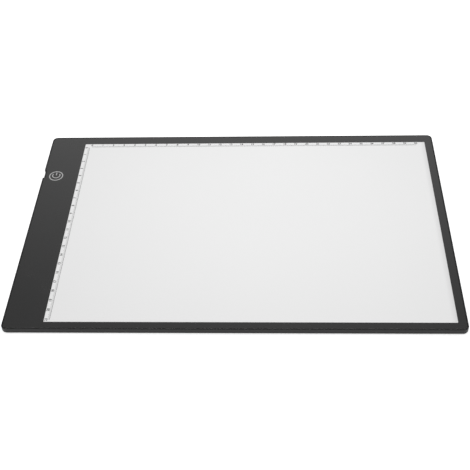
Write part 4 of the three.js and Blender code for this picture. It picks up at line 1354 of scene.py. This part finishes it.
key_centre = Vector((tray_low.x + KEY_FROM_LEFT, notch_y - KEY_BEFORE_NOTCH))
key_print = shape("touch_key_print", all_in_one([
    printed_ring(key_centre, RING_DIAMETER, RING_LINE), *power_symbol(key_centre),
]))
fit(key_print, ink("light grey key ink", dark=0.36, light=0.42, rough=0.4), "border_black")

# Studio
# The pad lies on a white sweep in a white tent. Smooth faces mirror the tent, white all round and dimmer
# under its roof, which bows down at the sides. One broad soft lamp, which nothing mirrors, hangs above.
# The camera stands in front and looks down at the pad, and paper close to the pad stays in its shadow.
SWEEP_SIZE = 6000.0
SWEEP_BELOW_FEET = 0.05
SWEEP_WHITE = 0.8
SWEEP_LIFT = 0.6
CONTACT_SHADOW_REACH = 0.7
MIRRORED_SHADOW_REACH = 2.5
TENT_LIGHT = 0.735
TENT_WHITE = 1.0
TENT_ROOF = 0.35
ROOF_STARTS = 0.62
ROOF_ENDS = 0.825
ROOF_BOW = 1.43
LAMP_SIZE = 300.0
LAMP_PLACE = (30.0, 55.0, 450.0)
LAMP_WATTS = 0.85
CAMERA_AIM = (-1.09, -15.31, 5.0)
CAMERA_DISTANCE = 755.74
CAMERA_ELEVATION = math.radians(44.081)
CAMERA_AZIMUTH = math.radians(-3.747)
CAMERA_ROLL = math.radians(-2.728)
CAMERA_LENS = 69.504


def sweep_material():
    """White paper that keeps the pad's shadow. Looked at from below, it isn't there."""
    material = bpy.data.materials.new("white sweep")
    material.use_nodes = True
    tree = material.node_tree
    tree.nodes.clear()
    paper = add_node(tree, "BsdfDiffuse", {"Color": (SWEEP_WHITE, SWEEP_WHITE, SWEEP_WHITE, 1)})
    rays = add_node(tree, "LightPath").outputs
    mirrored = rays["Is Glossy Ray"]
    seen = calculate(tree, "MAXIMUM", rays["Is Camera Ray"], rays["Is Transmission Ray"])
    seen_or_mirrored = calculate(tree, "MAXIMUM", seen, mirrored)
    reach = choose(tree, mirrored, CONTACT_SHADOW_REACH * MM, MIRRORED_SHADOW_REACH * MM)
    open_paper = add_node(tree, "AmbientOcclusion", {"Distance": reach}).outputs["AO"]
    lifted_share = calculate(tree, "MULTIPLY", seen_or_mirrored, open_paper)
    lift = add_node(tree, "Emission", {"Strength": calculate(tree, "MULTIPLY", lifted_share, SWEEP_LIFT)})
    lifted = add_node(tree, "AddShader", {0: paper.outputs[0], 1: lift.outputs[0]})
    clear = add_node(tree, "BsdfTransparent")
    behind = add_node(tree, "NewGeometry").outputs["Backfacing"]
    passed_once = calculate(tree, "GREATER_THAN", rays["Transparent Depth"], 0.5)
    from_below = calculate(tree, "MAXIMUM", behind, passed_once)
    either = add_node(tree, "MixShader", {0: from_below, 1: lifted.outputs[0], 2: clear.outputs[0]})
    add_node(tree, "OutputMaterial", {"Surface": either.outputs[0]})
    return material


def white_tent():
    world = bpy.data.worlds.new("white tent")
    world.use_nodes = True
    tree = world.node_tree
    tree.nodes.clear()
    axes = split_axes(tree, add_node(tree, "TexCoord").outputs["Generated"])
    sideways = calculate(tree, "MULTIPLY", axes["X"], axes["X"])
    height = varied(tree, axes["Z"], (sideways, ROOF_BOW))
    roof = between(tree, height, ROOF_STARTS, ROOF_ENDS, smooth_step=False)
    mirrored = varied(tree, TENT_WHITE, (roof, TENT_ROOF - TENT_WHITE))
    rays = add_node(tree, "LightPath").outputs
    seen = calculate(tree, "MAXIMUM", rays["Is Camera Ray"], rays["Is Transmission Ray"])
    lit_or_mirrored = choose(tree, rays["Is Glossy Ray"], TENT_LIGHT, mirrored)
    strength = choose(tree, seen, lit_or_mirrored, TENT_WHITE)
    tent = add_node(tree, "Background", {"Color": (1, 1, 1, 1), "Strength": strength})
    add_node(tree, "OutputWorld", {"Surface": tent.outputs[0]})
    return world


scene = bpy.context.scene
scene.view_settings.view_transform = "Standard"
scene.world = white_tent()

half_sweep = SWEEP_SIZE / 2
sweep_body = bmesh.new()
sweep_body.faces.new([
    sweep_body.verts.new((x * half_sweep, y * half_sweep, -SWEEP_BELOW_FEET))
    for x, y in ((-1, -1), (1, -1), (1, 1), (-1, 1))
])
sweep = shape("white_sweep", sweep_body)
sweep.data.materials.append(sweep_material())

lamp_data = bpy.data.lights.new("soft lamp", "AREA")
lamp_data.size = LAMP_SIZE * MM
lamp_data.energy = LAMP_WATTS
lamp = bpy.data.objects.new("soft lamp", lamp_data)
lamp.location = Vector(LAMP_PLACE) * MM
lamp.rotation_euler = (-Vector(LAMP_PLACE)).to_track_quat("-Z", "Y").to_euler()
lamp.visible_glossy = False
scene.collection.objects.link(lamp)

camera_data = bpy.data.cameras.new("camera")
camera_data.lens = CAMERA_LENS
camera = bpy.data.objects.new("camera", camera_data)
forward = Vector((
    math.sin(CAMERA_AZIMUTH) * math.cos(CAMERA_ELEVATION),
    math.cos(CAMERA_AZIMUTH) * math.cos(CAMERA_ELEVATION),
    -math.sin(CAMERA_ELEVATION),
))
camera.location = (Vector(CAMERA_AIM) - forward * CAMERA_DISTANCE) * MM
aimed = forward.to_track_quat("-Z", "Y").to_matrix()
camera.rotation_euler = (aimed @ Matrix.Rotation(CAMERA_ROLL, 3, "Z")).to_euler()
scene.collection.objects.link(camera)
scene.camera = camera
